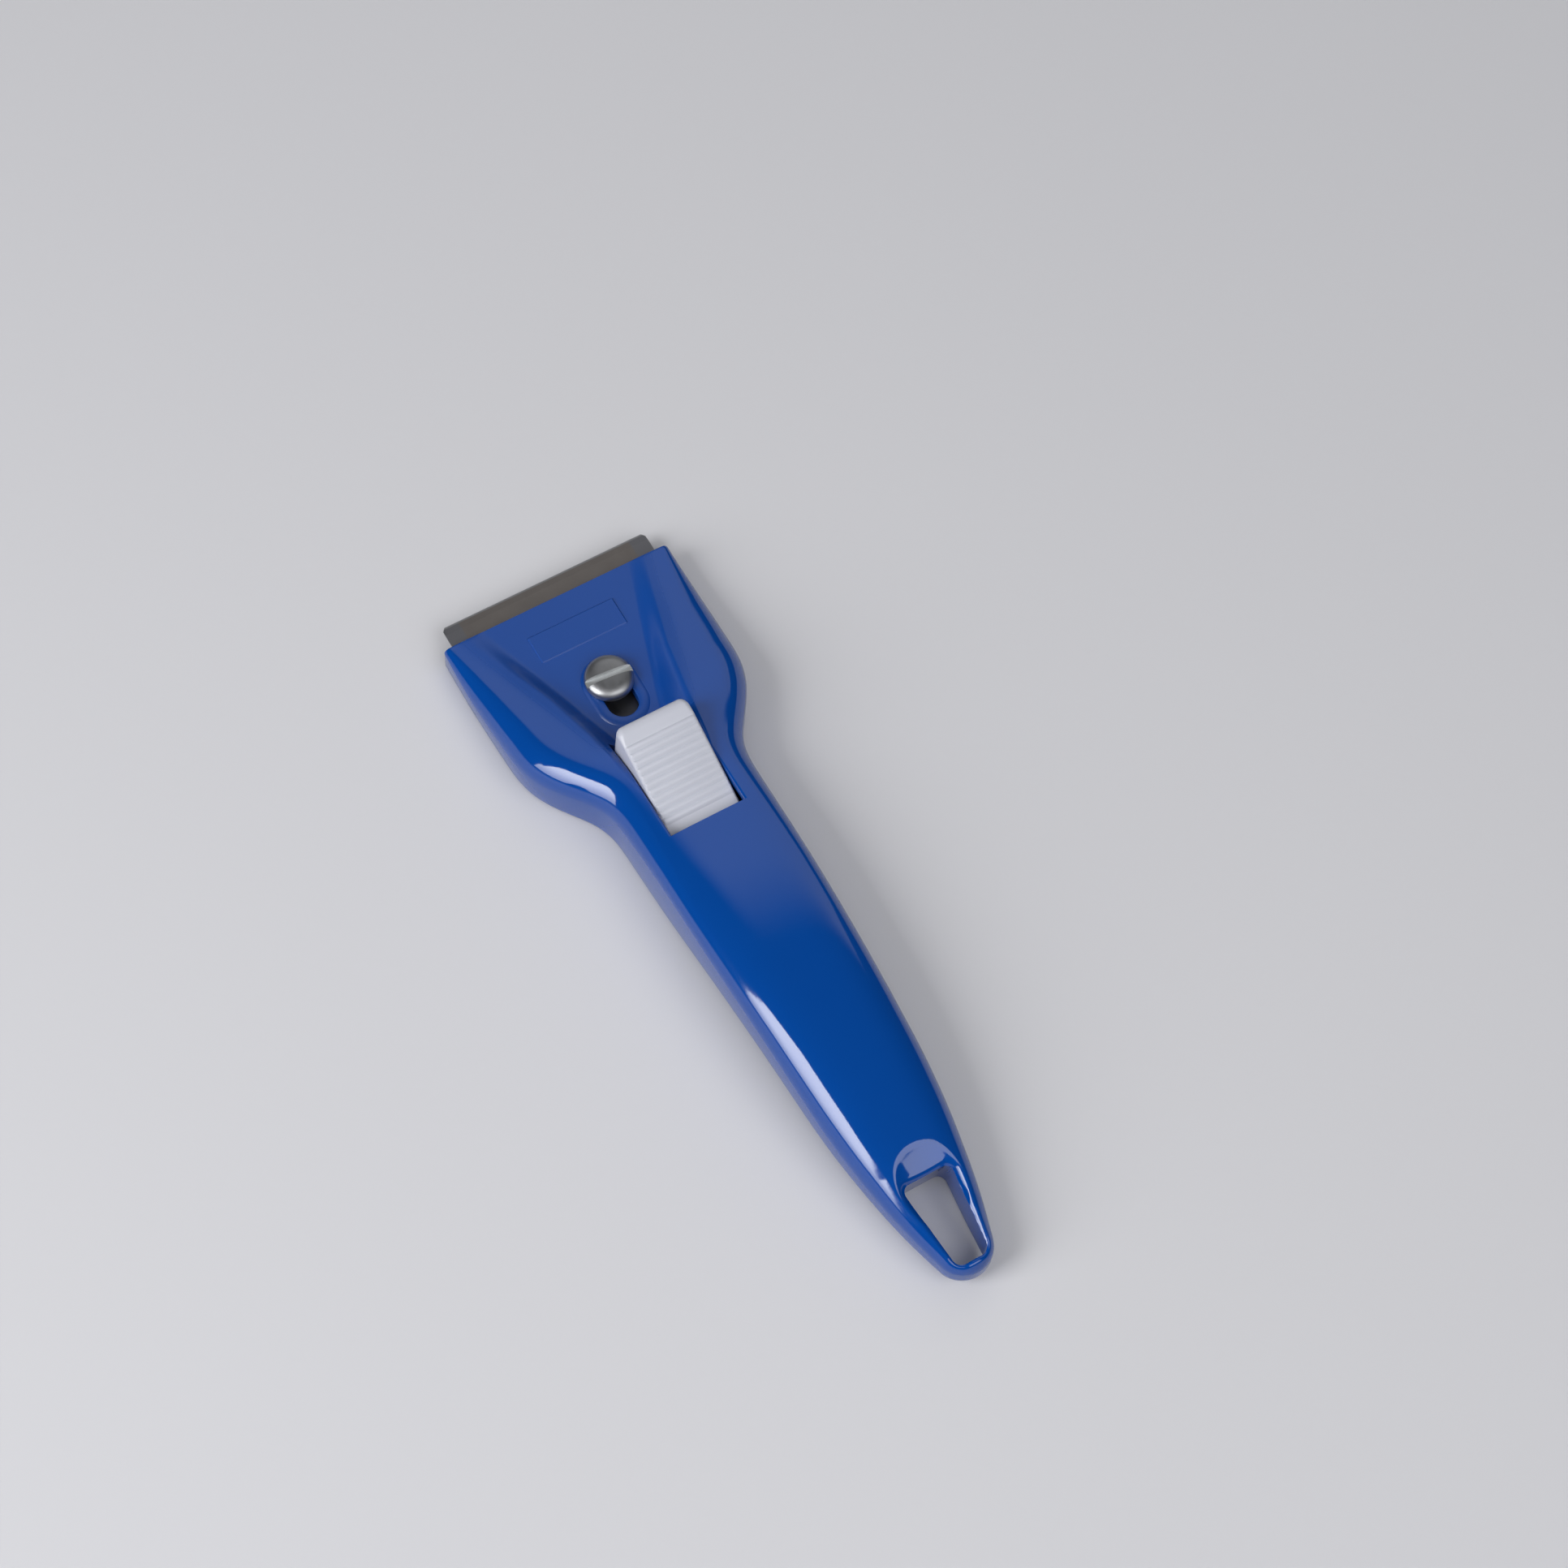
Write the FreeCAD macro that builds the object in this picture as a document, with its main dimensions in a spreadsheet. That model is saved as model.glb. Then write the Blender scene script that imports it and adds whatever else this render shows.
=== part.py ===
import FreeCAD, Part
import os
import re
import Sketcher

# Ceramic hob scraper: a moulded handle with a blade that slides out under a thumb button.
# Every piece is built with the head's front edge at x = 0, +X towards the blade and z = 0 on the base.
# The finished pieces are then moved along X so that the middle of the whole tool is at the origin.

doc = FreeCAD.newDocument("hob_scraper")

# Driving sizes in millimetres

SIZES = [
    ("handle_length", 151.0, "head's front edge to the tail"),
    ("head_half_width", 23.7, "half the width of the head's front edge"),
    ("crown_height", 17.0, "base to the top of the handle's arch"),
    ("underside_rise", 3.5, "hollow of the handle's underside above the base"),
    ("shell_wall", 2.0, "wall of the handle moulding over the hollow"),
    ("side_wall", 4.4, "wall of the handle moulding beside the hollow"),
    ("shoulder_round", 5.0, "rounded shoulders along the handle's top, where they are fullest"),
    ("front_base_round", 0.8, "rounded lower edges at the head"),
    ("rear_base_round", 4.0, "rounded lower edges at the tail"),
    ("floor_height", 6.2, "base to the floor of the V recess"),
    ("recess_front_half_width", 15.5, "half width of the recess at the front edge"),
    ("recess_rear_half_width", 6.6, "half width of the recess at the window"),
    ("recess_slope", 28.0, "lean of the recess walls from upright, degrees"),
    ("mark_length", 18.0, "plain raised field in the recess, across"),
    ("mark_depth", 6.0, "plain raised field in the recess, lengthways"),
    ("mark_setback", 5.4, "front edge to the raised field"),
    ("mark_height", 0.2, "rise of the raised field"),
    ("slot_width", 6.0, "screw slot"),
    ("rim_width", 2.2, "raised rim round the slot"),
    ("rim_height", 0.5, "rise of the rim above the recess floor"),
    ("window_gap", 0.5, "thumb button to the window's sides and front"),
    ("window_length", 23.7, "thumb window, lengthways"),
    ("skin_edge", 1.0, "skin left over the button at the window's rear edge"),
    ("scoop_setback", 15.5, "tail to the middle of the scooped facet"),
    ("scoop_radius", 16.0, "hollow of the scooped facet"),
    ("scoop_depth", 2.1, "scooped facet below the handle's top"),
    ("hole_setback", 18.3, "tail to the hang hole's wide end"),
    ("hole_length", 16.4, "hang hole, lengthways"),
    ("hole_wide_half", 5.0, "half the hang hole's wide end"),
    ("hole_narrow_half", 3.2, "half the hang hole's narrow end"),
    ("hole_corner", 1.7, "corner radius of the hang hole"),
    ("travel", 5.2, "stroke of the thumb button and blade"),
    ("slide_gap", 0.2, "clearance of the sliding pieces, up and down"),
    ("side_gap", 0.5, "clearance of the sliding pieces, sideways"),
    ("fit_gap", 0.15, "clearance of the fixed pieces in their seats"),
    ("thread_gap", 0.05, "radial clearance of a screw in its thread"),
    ("blade_length", 43.0, "blade, across"),
    ("blade_depth", 22.0, "blade, edge to edge"),
    ("blade_thickness", 0.4, "blade"),
    ("blade_reach", 5.0, "blade in front of the head"),
    ("bevel_width", 1.6, "ground bevel of the blade"),
    ("edge_thickness", 0.08, "blade's cutting edge"),
    ("carrier_level", 3.0, "base to the underside of the carrier"),
    ("carrier_thickness", 1.0, "steel carrier"),
    ("carrier_setback", 0.8, "head's front edge to the carrier"),
    ("carrier_head_depth", 17.5, "wide part of the carrier, lengthways"),
    ("carrier_side_margin", 0.3, "blade's end beyond the carrier"),
    ("tongue_half_width", 8.1, "half the carrier's tongue"),
    ("rivet_radius", 1.5, "blade rivet"),
    ("rivet_spacing", 22.0, "between the two blade rivets"),
    ("screw_setback", 20.5, "head's front edge to the clamp screw"),
    ("screw_radius", 2.5, "clamp screw's thread"),
    ("screw_head_radius", 4.65, "clamp screw's head"),
    ("screw_head_height", 2.3, "clamp screw's head"),
    ("screw_head_round", 1.1, "rounded edge of the screw's head"),
    ("driver_slot_width", 1.4, "slot in the screw's head"),
    ("driver_slot_depth", 1.2, "slot in the screw's head"),
    ("nut_side", 8.0, "square nut, across"),
    ("nut_thickness", 2.5, "square nut"),
    ("button_setback", 34.0, "head's front edge to the button's front"),
    ("button_half_width", 7.0, "half the thumb button"),
    ("button_height", 19.9, "base to the button's highest edge"),
    ("button_lean", 2.6, "button's front face, foot to top"),
    ("button_length", 28.0, "button with the tail that runs under the skin"),
    ("button_fall", 21.0, "slope of the button's top, degrees"),
    ("button_wall", 1.6, "wall of the button's hollow"),
    ("button_round", 1.3, "rounded corners of the button"),
    ("flange_half_width", 8.1, "half the button's foot under the skin"),
    ("flange_thickness", 1.4, "button's foot"),
    ("ridge_pitch", 1.36, "between the button's cross ridges"),
    ("ridge_depth", 0.35, "grooves between the ridges"),
    ("ridge_margin", 3.9, "top edge of the button to its first groove"),
    ("leg_length", 2.2, "button's snap leg, lengthways"),
    ("leg_half_width", 2.2, "half the button's snap leg"),
    ("leg_reach", 0.7, "snap leg below the carrier"),
    ("cover_thickness", 1.6, "base cover under the handle"),
    ("cover_screw_radius", 1.2, "self-tapping screw"),
    ("cover_screw_head_radius", 2.4, "self-tapping screw's countersunk head"),
    ("cover_screw_length", 7.0, "self-tapping screw, overall"),
    ("cover_screw_sink", 0.25, "self-tapping screw's head below the cover's face"),
    ("boss_wall", 1.8, "wall of a screw boss"),
    ("boss_lead", 6.0, "button's rear at the end of its stroke to the first boss"),
    ("boss_setback", 12.0, "middle of the last boss to the rear end of the hollow"),
    ("overrun", 2.0, "cutting tools past the faces they cut"),
]

RIDGES = 11

sheet = doc.addObject("Spreadsheet::Sheet", "Sizes")
for row, (alias, value, note) in enumerate(SIZES, start=1):
    sheet.set(f"A{row}", note)
    sheet.set(f"B{row}", str(value))
    sheet.setAlias(f"B{row}", alias)
doc.recompute()

size = {alias: float(sheet.get(alias)) for alias, value, note in SIZES}


# Helpers for objects whose sizes follow the sheet

def linked(text):
    """Put the sheet's name before every alias in an expression."""
    def with_sheet(word):
        return "Sizes." + word.group() if word.group() in size else word.group()

    return re.sub(r"[a-z_]+", with_sheet, text)


def value_of(text):
    """The number that an expression in the sheet's aliases stands for."""
    return float(sheet.evalExpression(linked(text)))


def bind(item, **sizes):
    """Tie properties to expressions; x, y and z stand for the place."""
    for name, text in sizes.items():
        path = "Placement.Base." + name if name in ("x", "y", "z") else name
        item.setExpression(path, linked(text))
    return item


def box(name, length, width, height, x, z):
    """A block centred on the plane y = 0, with its lower rear edge at x and z."""
    item = doc.addObject("Part::Box", name)
    return bind(item, Length=length, Width=width, Height=height, x=x, y=f"-({width}) / 2", z=z)


def rod(name, radius, height, x, y, z):
    item = doc.addObject("Part::Cylinder", name)
    return bind(item, Radius=radius, Height=height, x=x, y=y, z=z)


def cut(name, base, tool):
    item = doc.addObject("Part::Cut", name)
    item.Base = base
    item.Tool = tool
    return item


def fuse(name, pieces):
    item = doc.addObject("Part::MultiFuse", name)
    item.Shapes = pieces
    return item


def common(name, first, second):
    item = doc.addObject("Part::Common", name)
    item.Base = first
    item.Tool = second
    return item


def body_plane(body, role):
    return [plane for plane in body.Origin.OriginFeatures if plane.Role == role][0]


def sketch_on(body, role, name, offset="0"):
    """An empty sketch on one of the body's own planes, moved along the plane's normal."""
    sketch = body.newObject("Sketcher::SketchObject", name)
    sketch.AttachmentSupport = (body_plane(body, role), "")
    sketch.MapMode = "FlatFace"
    sketch.setExpression("AttachmentOffset.Base.z", linked(offset))
    return sketch


def polygon(sketch, corners):
    """A closed outline with every corner's two places tied to expressions."""
    doc.recompute()
    places = [tuple(value_of(text) for text in corner) for corner in corners]
    vectors = [FreeCAD.Vector(across, up, 0) for across, up in places]
    for start, end in zip(vectors, vectors[1:] + vectors[:1]):
        sketch.addGeometry(Part.LineSegment(start, end), False)
    for index in range(len(corners)):
        sketch.addConstraint(Sketcher.Constraint("Coincident", index, 2, (index + 1) % len(corners), 1))
    for index, corner in enumerate(corners):
        for kind, text in zip(("DistanceX", "DistanceY"), corner):
            place = places[index][0 if kind == "DistanceX" else 1]
            number = sketch.addConstraint(Sketcher.Constraint(kind, -1, 1, index, 1, place))
            sketch.setExpression(f"Constraints[{number}]", linked(text))
    return sketch


def pad(body, sketch, length, symmetric=False):
    item = body.newObject("PartDesign::Pad", sketch.Name + "_pad")
    item.Profile = sketch
    item.SideType = "Symmetric" if symmetric else "One side"
    return bind(item, Length=length)


def side_prism(name, width, corners):
    """A body whose outline is drawn from the side and which is centred on the plane y = 0."""
    body = doc.addObject("PartDesign::Body", name)
    sketch = polygon(sketch_on(body, "XZ_Plane", name + "_side"), corners)
    pad(body, sketch, width, symmetric=True)
    return body


def plan_prism(name, level, height, corners):
    """A body whose outline is drawn from above, from a level upwards."""
    body = doc.addObject("PartDesign::Body", name)
    sketch = polygon(sketch_on(body, "XY_Plane", name + "_plan", level), corners)
    pad(body, sketch, height)
    return body


def round_edges(body, radius, chosen):
    """Round the edges of a body's last feature that a test picks."""
    doc.recompute()
    base = body.Tip
    names = [f"Edge{number}" for number, edge in enumerate(base.Shape.Edges, start=1) if chosen(edge)]
    item = body.newObject("PartDesign::Fillet", body.Name + "_rounded")
    item.Base = (base, names)
    bind(item, Radius=radius)


finished = []


def finish(item, label):
    """Name a finished piece and move it so that the tool's middle is at the origin."""
    item.Label = label
    bind(item, x="(handle_length - blade_reach) / 2")
    finished.append(item)


# The handle's form: a smooth outline seen from above, cut by a smooth bow seen from the side.
# Places are shares of the length, half widths of the head's half width and heights of the crown height.
# The underside is flat up to the button's rear end; behind it, places are shares of what is left of
# the length and heights are shares of the underside's rise.

STATION_SHARES = [0, 0.053, 0.106, 0.152, 0.185, 0.219, 0.252, 0.291, 0.344,
                  0.424, 0.503, 0.702, 0.781, 0.861, 0.927, 0.974, 1]
HALF_WIDTH_SHARES = [1, 1.008, 1.006, 0.998, 0.985, 0.926, 0.802, 0.637, 0.574,
                     0.561, 0.552, 0.500, 0.468, 0.397, 0.308, 0.224, 0]
HEIGHT_SHARES = [0.376, 0.435, 0.535, 0.629, 0.694, 0.753, 0.800, 0.841, 0.876,
                 0.938, 1, 0.971, 0.868, 0.724, 0.606, 0.547, 0.524]
HOLLOW_END_SHARES = (0.291, 0.781)
SHOULDER_STATION_SHARES = [0, 0.219, 0.702, 0.974]
SHOULDER_SHARES = [0.24, 0.8, 1, 0.8]
BOW_STATION_SHARES = [0, 0.08, 0.20, 0.52, 0.65, 0.78, 0.88, 0.96, 1]
BOW_RISE_SHARES = [0, 0.13, 0.63, 0.93, 0.66, 0.34, 0.10, 0.01, 0]
BUTTON_REAR = "button_setback + button_length"
BOW_FRONT = f"{BUTTON_REAR} - travel"


def smooth_edge(points, **ends):
    curve = Part.BSplineCurve()
    curve.interpolate(points, **ends)
    return curve.toShape()


def smooth_edges(points, breaks):
    """A smooth curve through the points, divided at the points of the given numbers."""
    curve = Part.BSplineCurve()
    curve.interpolate(points)
    stops = [curve.parameter(points[number]) for number in [0] + breaks + [len(points) - 1]]
    return [curve.toShape(start, stop) for start, stop in zip(stops, stops[1:])]


def straight_edges(points):
    return [Part.LineSegment(start, end).toShape() for start, end in zip(points, points[1:])]


def face_of(name, edges):
    item = doc.addObject("Part::Feature", name)
    item.Shape = Part.Face(Part.Wire(Part.__sortEdges__(edges)))
    return item


def extrusion(name, base, direction, length):
    item = doc.addObject("Part::Extrusion", name)
    item.Base = base
    item.DirMode = "Custom"
    item.Dir = direction
    item.Solid = True
    return bind(item, LengthFwd=length)


def side_spot(place, level):
    """A point beside the handle, at a distance behind the head's front edge."""
    return FreeCAD.Vector(-place, -2 * size["head_half_width"], level)


def arch_edges(drop):
    """The upper outline seen from the side, lowered by a drop."""
    return [smooth_edge([side_spot(size["handle_length"] * place, size["crown_height"] * share - drop)
                         for place, share in zip(STATION_SHARES, HEIGHT_SHARES)])]


def underside_edges(lift):
    """The lower outline seen from the side, raised by a lift: flat at the head, bowed along the handle."""
    front = value_of(BOW_FRONT)
    spots = [side_spot(front + (size["handle_length"] - front) * place, size["underside_rise"] * share + lift)
             for place, share in zip(BOW_STATION_SHARES, BOW_RISE_SHARES)]
    rearward = FreeCAD.Vector(-1, 0, 0)
    bow = smooth_edge(spots, InitialTangent=rearward, FinalTangent=rearward)
    return straight_edges([side_spot(0, lift), spots[0]]) + [bow]


def underside_level(place):
    """Height of the bowed underside at a distance behind the head's front edge."""
    upright = straight_edges([side_spot(place, 0), side_spot(place, size["crown_height"])])[0]
    distance, pairs, details = underside_edges(0)[-1].distToShape(upright)
    return pairs[0][0].z


def end_spots(edges):
    """The foremost and the rearmost point of a run of edges."""
    points = [vertex.Point for edge in edges for vertex in edge.Vertexes]
    points.sort(key=lambda point: -point.x)
    return points[0], points[-1]


def side_band(name, upper, lower):
    """A block across the handle between two outlines seen from the side."""
    ends = []
    for first, last in zip(end_spots(upper), end_spots(lower)):
        ends += straight_edges([first, last])
    return extrusion(name, face_of(name + "_outline", upper + lower + ends), FreeCAD.Vector(0, 1, 0),
                     "4 * head_half_width")


def plan_block(name, front_share, rear_share, inset):
    """A block of the outline seen from above, set in by a wall; at the tail it ends in an arc."""
    wall = value_of(inset)
    left = [FreeCAD.Vector(-size["handle_length"] * place, size["head_half_width"] * share - wall,
                           -size["overrun"])
            for place, share in zip(STATION_SHARES, HALF_WIDTH_SHARES)
            if front_share <= place <= rear_share]
    tail = left.pop() if rear_share == STATION_SHARES[-1] else None
    right = [FreeCAD.Vector(spot.x, -spot.y, spot.z) for spot in left]
    breaks = [STATION_SHARES.index(share) for share in SHOULDER_STATION_SHARES[1:-1]] if tail else []
    edges = smooth_edges(left, breaks) + smooth_edges(right, breaks) + straight_edges([left[0], right[0]])
    if tail:
        edges.append(Part.Arc(left[-1], tail, right[-1]).toShape())
    else:
        edges += straight_edges([left[-1], right[-1]])
    return extrusion(name, face_of(name + "_outline", edges), FreeCAD.Vector(0, 0, 1),
                     "crown_height + 2 * overrun")


# Handle shell: the outer form hollowed from below, then the head's channel and the openings.

HOLLOW_FRONT = f"handle_length * {HOLLOW_END_SHARES[0]}"
HOLLOW_REAR = f"handle_length * {HOLLOW_END_SHARES[1]}"
CHANNEL_HEIGHT = "carrier_level + carrier_thickness + blade_thickness + slide_gap"
CHANNEL_DEPTH = "carrier_setback + carrier_head_depth + travel + side_gap"
CHANNEL_WIDTH = "blade_length + 2 * side_gap"
TONGUE_WIDTH = "2 * (tongue_half_width + side_gap)"
WINDOW_REAR = "button_setback - window_gap + window_length"
SCREW_ENDS = ("screw_setback", "screw_setback + travel")
BOSS_REACH = "cover_screw_radius + boss_wall"
BOSS_PLACES = (f"{BUTTON_REAR} + travel + {BOSS_REACH} + boss_lead", f"{HOLLOW_REAR} - boss_setback")
WINDOW_SKIN_SHARE = 0.90


def oblong(name, width, height, level):
    """A rounded slot shape along the clamp screw's travel."""
    ends = [rod(f"{name}_end_{index}", f"({width}) / 2", height, f"-({place})", "0", level)
            for index, place in enumerate(SCREW_ENDS)]
    middle = box(name + "_middle", "travel", width, height, f"-({SCREW_ENDS[1]})", level)
    return fuse(name, ends + [middle])


sharp_form = common("sharp_form", plan_block("handle_plan", STATION_SHARES[0], STATION_SHARES[-1], "0"),
                    side_band("handle_side", arch_edges(0), underside_edges(0)))
doc.recompute()


def shoulder_round(place):
    """Radius of the upper edges at a place along the handle."""
    share = -place / size["handle_length"]
    nearest = min(range(len(SHOULDER_STATION_SHARES)), key=lambda i: abs(SHOULDER_STATION_SHARES[i] - share))
    return size["shoulder_round"] * SHOULDER_SHARES[nearest]


def base_round(place):
    """Radius of the lower edges at a place along the handle."""
    share = -place / size["handle_length"]
    return size["front_base_round"] * (1 - share) + size["rear_base_round"] * share


rounded = []
for number, edge in enumerate(sharp_form.Shape.Edges, start=1):
    if edge.BoundBox.XLength < size["shell_wall"]:
        continue
    if edge.BoundBox.ZMin > size["underside_rise"]:
        start, stop = (shoulder_round(edge.valueAt(end).x) for end in edge.ParameterRange)
    else:
        start, stop = (base_round(edge.valueAt(end).x) for end in edge.ParameterRange)
    rounded.append((number, start, stop))
outer_form = doc.addObject("Part::Fillet", "outer_form")
outer_form.Base = sharp_form
outer_form.Edges = rounded

sunk_base = straight_edges([side_spot(place, -size["overrun"]) for place in (0, size["handle_length"])])
hollow_form = common("hollow_form", plan_block("hollow_plan", *HOLLOW_END_SHARES, "side_wall"),
                     side_band("hollow_side", arch_edges(size["shell_wall"]), sunk_base))
head_channel = box("head_channel", f"{CHANNEL_DEPTH} + overrun", CHANNEL_WIDTH,
                   f"{CHANNEL_HEIGHT} + overrun", f"-({CHANNEL_DEPTH})", "-overrun")
tongue_channel = box("tongue_channel", f"{HOLLOW_FRONT} + overrun", TONGUE_WIDTH,
                     f"{CHANNEL_HEIGHT} + overrun", f"-({HOLLOW_FRONT} + overrun)", "-overrun")
foot_channel = box("foot_channel", f"{HOLLOW_FRONT} + overrun - (button_setback + button_lean - side_gap)",
                   "2 * (flange_half_width + side_gap)",
                   "carrier_thickness + flange_thickness + slide_gap",
                   f"-({HOLLOW_FRONT} + overrun)", "carrier_level")
window = box("window", "window_length", "2 * (button_half_width + window_gap)", "crown_height",
             f"-({WINDOW_REAR})", "carrier_level")
skin_relief = box("skin_relief", "travel + overrun", "2 * (button_half_width + window_gap)",
                  f"crown_height * {WINDOW_SKIN_SHARE} - skin_edge - carrier_level",
                  f"-({WINDOW_REAR} + travel)", "carrier_level")

recess_end = "button_setback + button_lean"
recess = plan_prism("recess", "floor_height", "crown_height", [
    ("overrun", "recess_front_half_width"),
    (f"-({recess_end})", "recess_rear_half_width"),
    (f"-({recess_end})", "-recess_rear_half_width"),
    ("overrun", "-recess_front_half_width"),
])
bind(recess.Tip, TaperAngle="recess_slope")

TAIL_TOP_SHARE = 0.62
scoop = bind(doc.addObject("Part::Sphere", "scoop"), Radius="scoop_radius",
             x="-(handle_length - scoop_setback)",
             z=f"crown_height * {TAIL_TOP_SHARE} - scoop_depth + scoop_radius")

hang_hole = plan_prism("hang_hole", "-overrun", "crown_height + 2 * overrun", [
    ("-(handle_length - hole_setback)", "hole_wide_half"),
    ("-(handle_length - hole_setback + hole_length)", "hole_narrow_half"),
    ("-(handle_length - hole_setback + hole_length)", "-hole_narrow_half"),
    ("-(handle_length - hole_setback)", "-hole_wide_half"),
])
round_edges(hang_hole, "hole_corner", lambda edge: edge.BoundBox.ZLength > size["crown_height"])

rim = oblong("rim", "slot_width + 2 * rim_width", f"floor_height + rim_height - ({CHANNEL_HEIGHT})",
             CHANNEL_HEIGHT)
mark = box("mark", "mark_depth", "mark_length", f"floor_height + mark_height - ({CHANNEL_HEIGHT})",
           "-(mark_setback + mark_depth)", CHANNEL_HEIGHT)
slot = oblong("slot", "slot_width", "crown_height", "carrier_level")

SCREW_LEVELS = [underside_level(value_of(place)) + size["cover_screw_sink"] for place in BOSS_PLACES]
bosses = []
pilots = []
for number, (place, level) in enumerate(zip(BOSS_PLACES, SCREW_LEVELS), start=1):
    bosses.append(rod(f"boss_{number}", BOSS_REACH, "crown_height", f"-({place})", "0",
                      f"{level} + cover_thickness + fit_gap"))
    pilots.append(rod(f"pilot_{number}", "cover_screw_radius + thread_gap", "cover_screw_length + overrun",
                      f"-({place})", "0", f"{level} - overrun"))
boss_posts = common("boss_posts", fuse("boss_rods", bosses), outer_form)

openings = fuse("openings", [hollow_form, head_channel, tongue_channel, foot_channel, window, skin_relief,
                             recess, scoop, hang_hole])
hollowed = cut("hollowed", outer_form, openings)
built_up = fuse("built_up", [hollowed, boss_posts, rim, mark])
handle_shell = cut("handle_shell", built_up, fuse("bores", [slot] + pilots))
finish(handle_shell, "handle_shell")


# Base cover: plate let into the underside, thick under the carrier, with a slot that the nut runs in.

CARRIER_SEAT = "carrier_level - slide_gap"
NUT_SLOT_WIDTH = "nut_side + 2 * side_gap"

head_plate = box("head_plate", f"{CHANNEL_DEPTH} - 2 * fit_gap", f"{CHANNEL_WIDTH} - 2 * fit_gap",
                 CARRIER_SEAT, f"-({CHANNEL_DEPTH} - fit_gap)", "0")
tongue_plate = box("tongue_plate", "button_setback - fit_gap", f"{TONGUE_WIDTH} - 2 * fit_gap",
                   CARRIER_SEAT, "-button_setback", "0")
neck_plate = box("neck_plate", f"{HOLLOW_FRONT} + overrun / 2 - fit_gap", f"{TONGUE_WIDTH} - 2 * fit_gap",
                 "cover_thickness", f"-({HOLLOW_FRONT} + overrun / 2)", "0")
cover_plan = plan_block("cover_plan", *HOLLOW_END_SHARES, "side_wall + fit_gap")
cover_band = side_band("cover_band", underside_edges(size["cover_thickness"]), underside_edges(0))
cover_slab = box("cover_slab", f"{HOLLOW_REAR} - ({HOLLOW_FRONT}) - 2 * fit_gap", "2 * head_half_width",
                 "crown_height", f"-({HOLLOW_REAR} - fit_gap)", "-overrun")
handle_plate = common("handle_plate", common("bowed_plate", cover_plan, cover_band), cover_slab)
nut_slot = box("nut_slot", "nut_side + travel + 2 * side_gap", NUT_SLOT_WIDTH,
               "carrier_level + 2 * overrun",
               "-(screw_setback + travel + nut_side / 2 + side_gap)", "-overrun")

cover_bores = []
cover_screw_pieces = []
for number, (place, level) in enumerate(zip(BOSS_PLACES, SCREW_LEVELS), start=1):
    sink = bind(doc.addObject("Part::Cone", f"countersink_{number}"),
                Radius1="cover_screw_head_radius + fit_gap", Radius2="cover_screw_radius + fit_gap",
                Height="cover_screw_head_radius - cover_screw_radius", x=f"-({place})", z=f"{level}")
    cover_bores.append(sink)
    cover_bores.append(rod(f"cover_mouth_{number}", "cover_screw_head_radius + fit_gap", "overrun",
                           f"-({place})", "0", f"{level} - overrun"))
    cover_bores.append(rod(f"cover_bore_{number}", "cover_screw_radius + fit_gap",
                           "cover_thickness + overrun", f"-({place})", "0", f"{level}"))
    head = bind(doc.addObject("Part::Cone", f"cover_screw_head_{number}"),
                Radius1="cover_screw_head_radius", Radius2="cover_screw_radius",
                Height="cover_screw_head_radius - cover_screw_radius", x=f"-({place})", z=f"{level}")
    shank = rod(f"cover_screw_shank_{number}", "cover_screw_radius", "cover_screw_length",
                f"-({place})", "0", f"{level}")
    whole = fuse(f"cover_screw_{number}", [head, shank])
    groove = box(f"cover_screw_slot_{number}", "driver_slot_width / 2",
                 "2 * cover_screw_head_radius + overrun", "driver_slot_depth / 2 + overrun",
                 f"-({place}) - driver_slot_width / 4", f"{level} - overrun")
    cover_screw_pieces.append(cut(f"slotted_cover_screw_{number}", whole, groove))

cover_blank = fuse("cover_blank", [head_plate, tongue_plate, neck_plate, handle_plate])
base_cover = cut("base_cover", cover_blank, fuse("cover_openings", [nut_slot] + cover_bores))
finish(base_cover, "base_cover")

cover_screws = doc.addObject("Part::Compound", "cover_screws")
cover_screws.Links = cover_screw_pieces
finish(cover_screws, "cover_screws")


# Blade carrier: flat pressed plate, wide under the blade, with a tongue back to the thumb button.

CARRIER_TOP = "carrier_level + carrier_thickness"
CARRIER_HALF = "blade_length / 2 - carrier_side_margin"
CARRIER_STEP = "carrier_setback + carrier_head_depth"
LEG_SHARES = (0.36, 0.70)
carrier_plate = plan_prism("carrier_plate", "carrier_level", "carrier_thickness", [
    ("-carrier_setback", CARRIER_HALF),
    (f"-({CARRIER_STEP})", CARRIER_HALF),
    (f"-({CARRIER_STEP})", "tongue_half_width"),
    (f"-({BUTTON_REAR})", "tongue_half_width"),
    (f"-({BUTTON_REAR})", "-tongue_half_width"),
    (f"-({CARRIER_STEP})", "-tongue_half_width"),
    (f"-({CARRIER_STEP})", f"-({CARRIER_HALF})"),
    ("-carrier_setback", f"-({CARRIER_HALF})"),
])
BLADE_MIDDLE = "blade_reach - blade_depth / 2"
carrier_bores = [rod("carrier_screw_bore", "screw_radius + fit_gap", "carrier_thickness + 2 * overrun",
                     "-screw_setback", "0", "carrier_level - overrun")]
blade_bores = []
rivets = []
for side, sign in (("left", ""), ("right", "-")):
    across = f"{sign}rivet_spacing / 2"
    carrier_bores.append(rod(f"carrier_rivet_bore_{side}", "rivet_radius + thread_gap",
                             "carrier_thickness + 2 * overrun", BLADE_MIDDLE, across,
                             "carrier_level - overrun"))
    blade_bores.append(rod(f"blade_bore_{side}", "rivet_radius + fit_gap", "blade_thickness + 2 * overrun",
                           BLADE_MIDDLE, across, f"{CARRIER_TOP} - overrun"))
    rivets.append(rod(f"rivet_{side}", "rivet_radius", "carrier_thickness + blade_thickness",
                      BLADE_MIDDLE, across, "carrier_level"))
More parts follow.
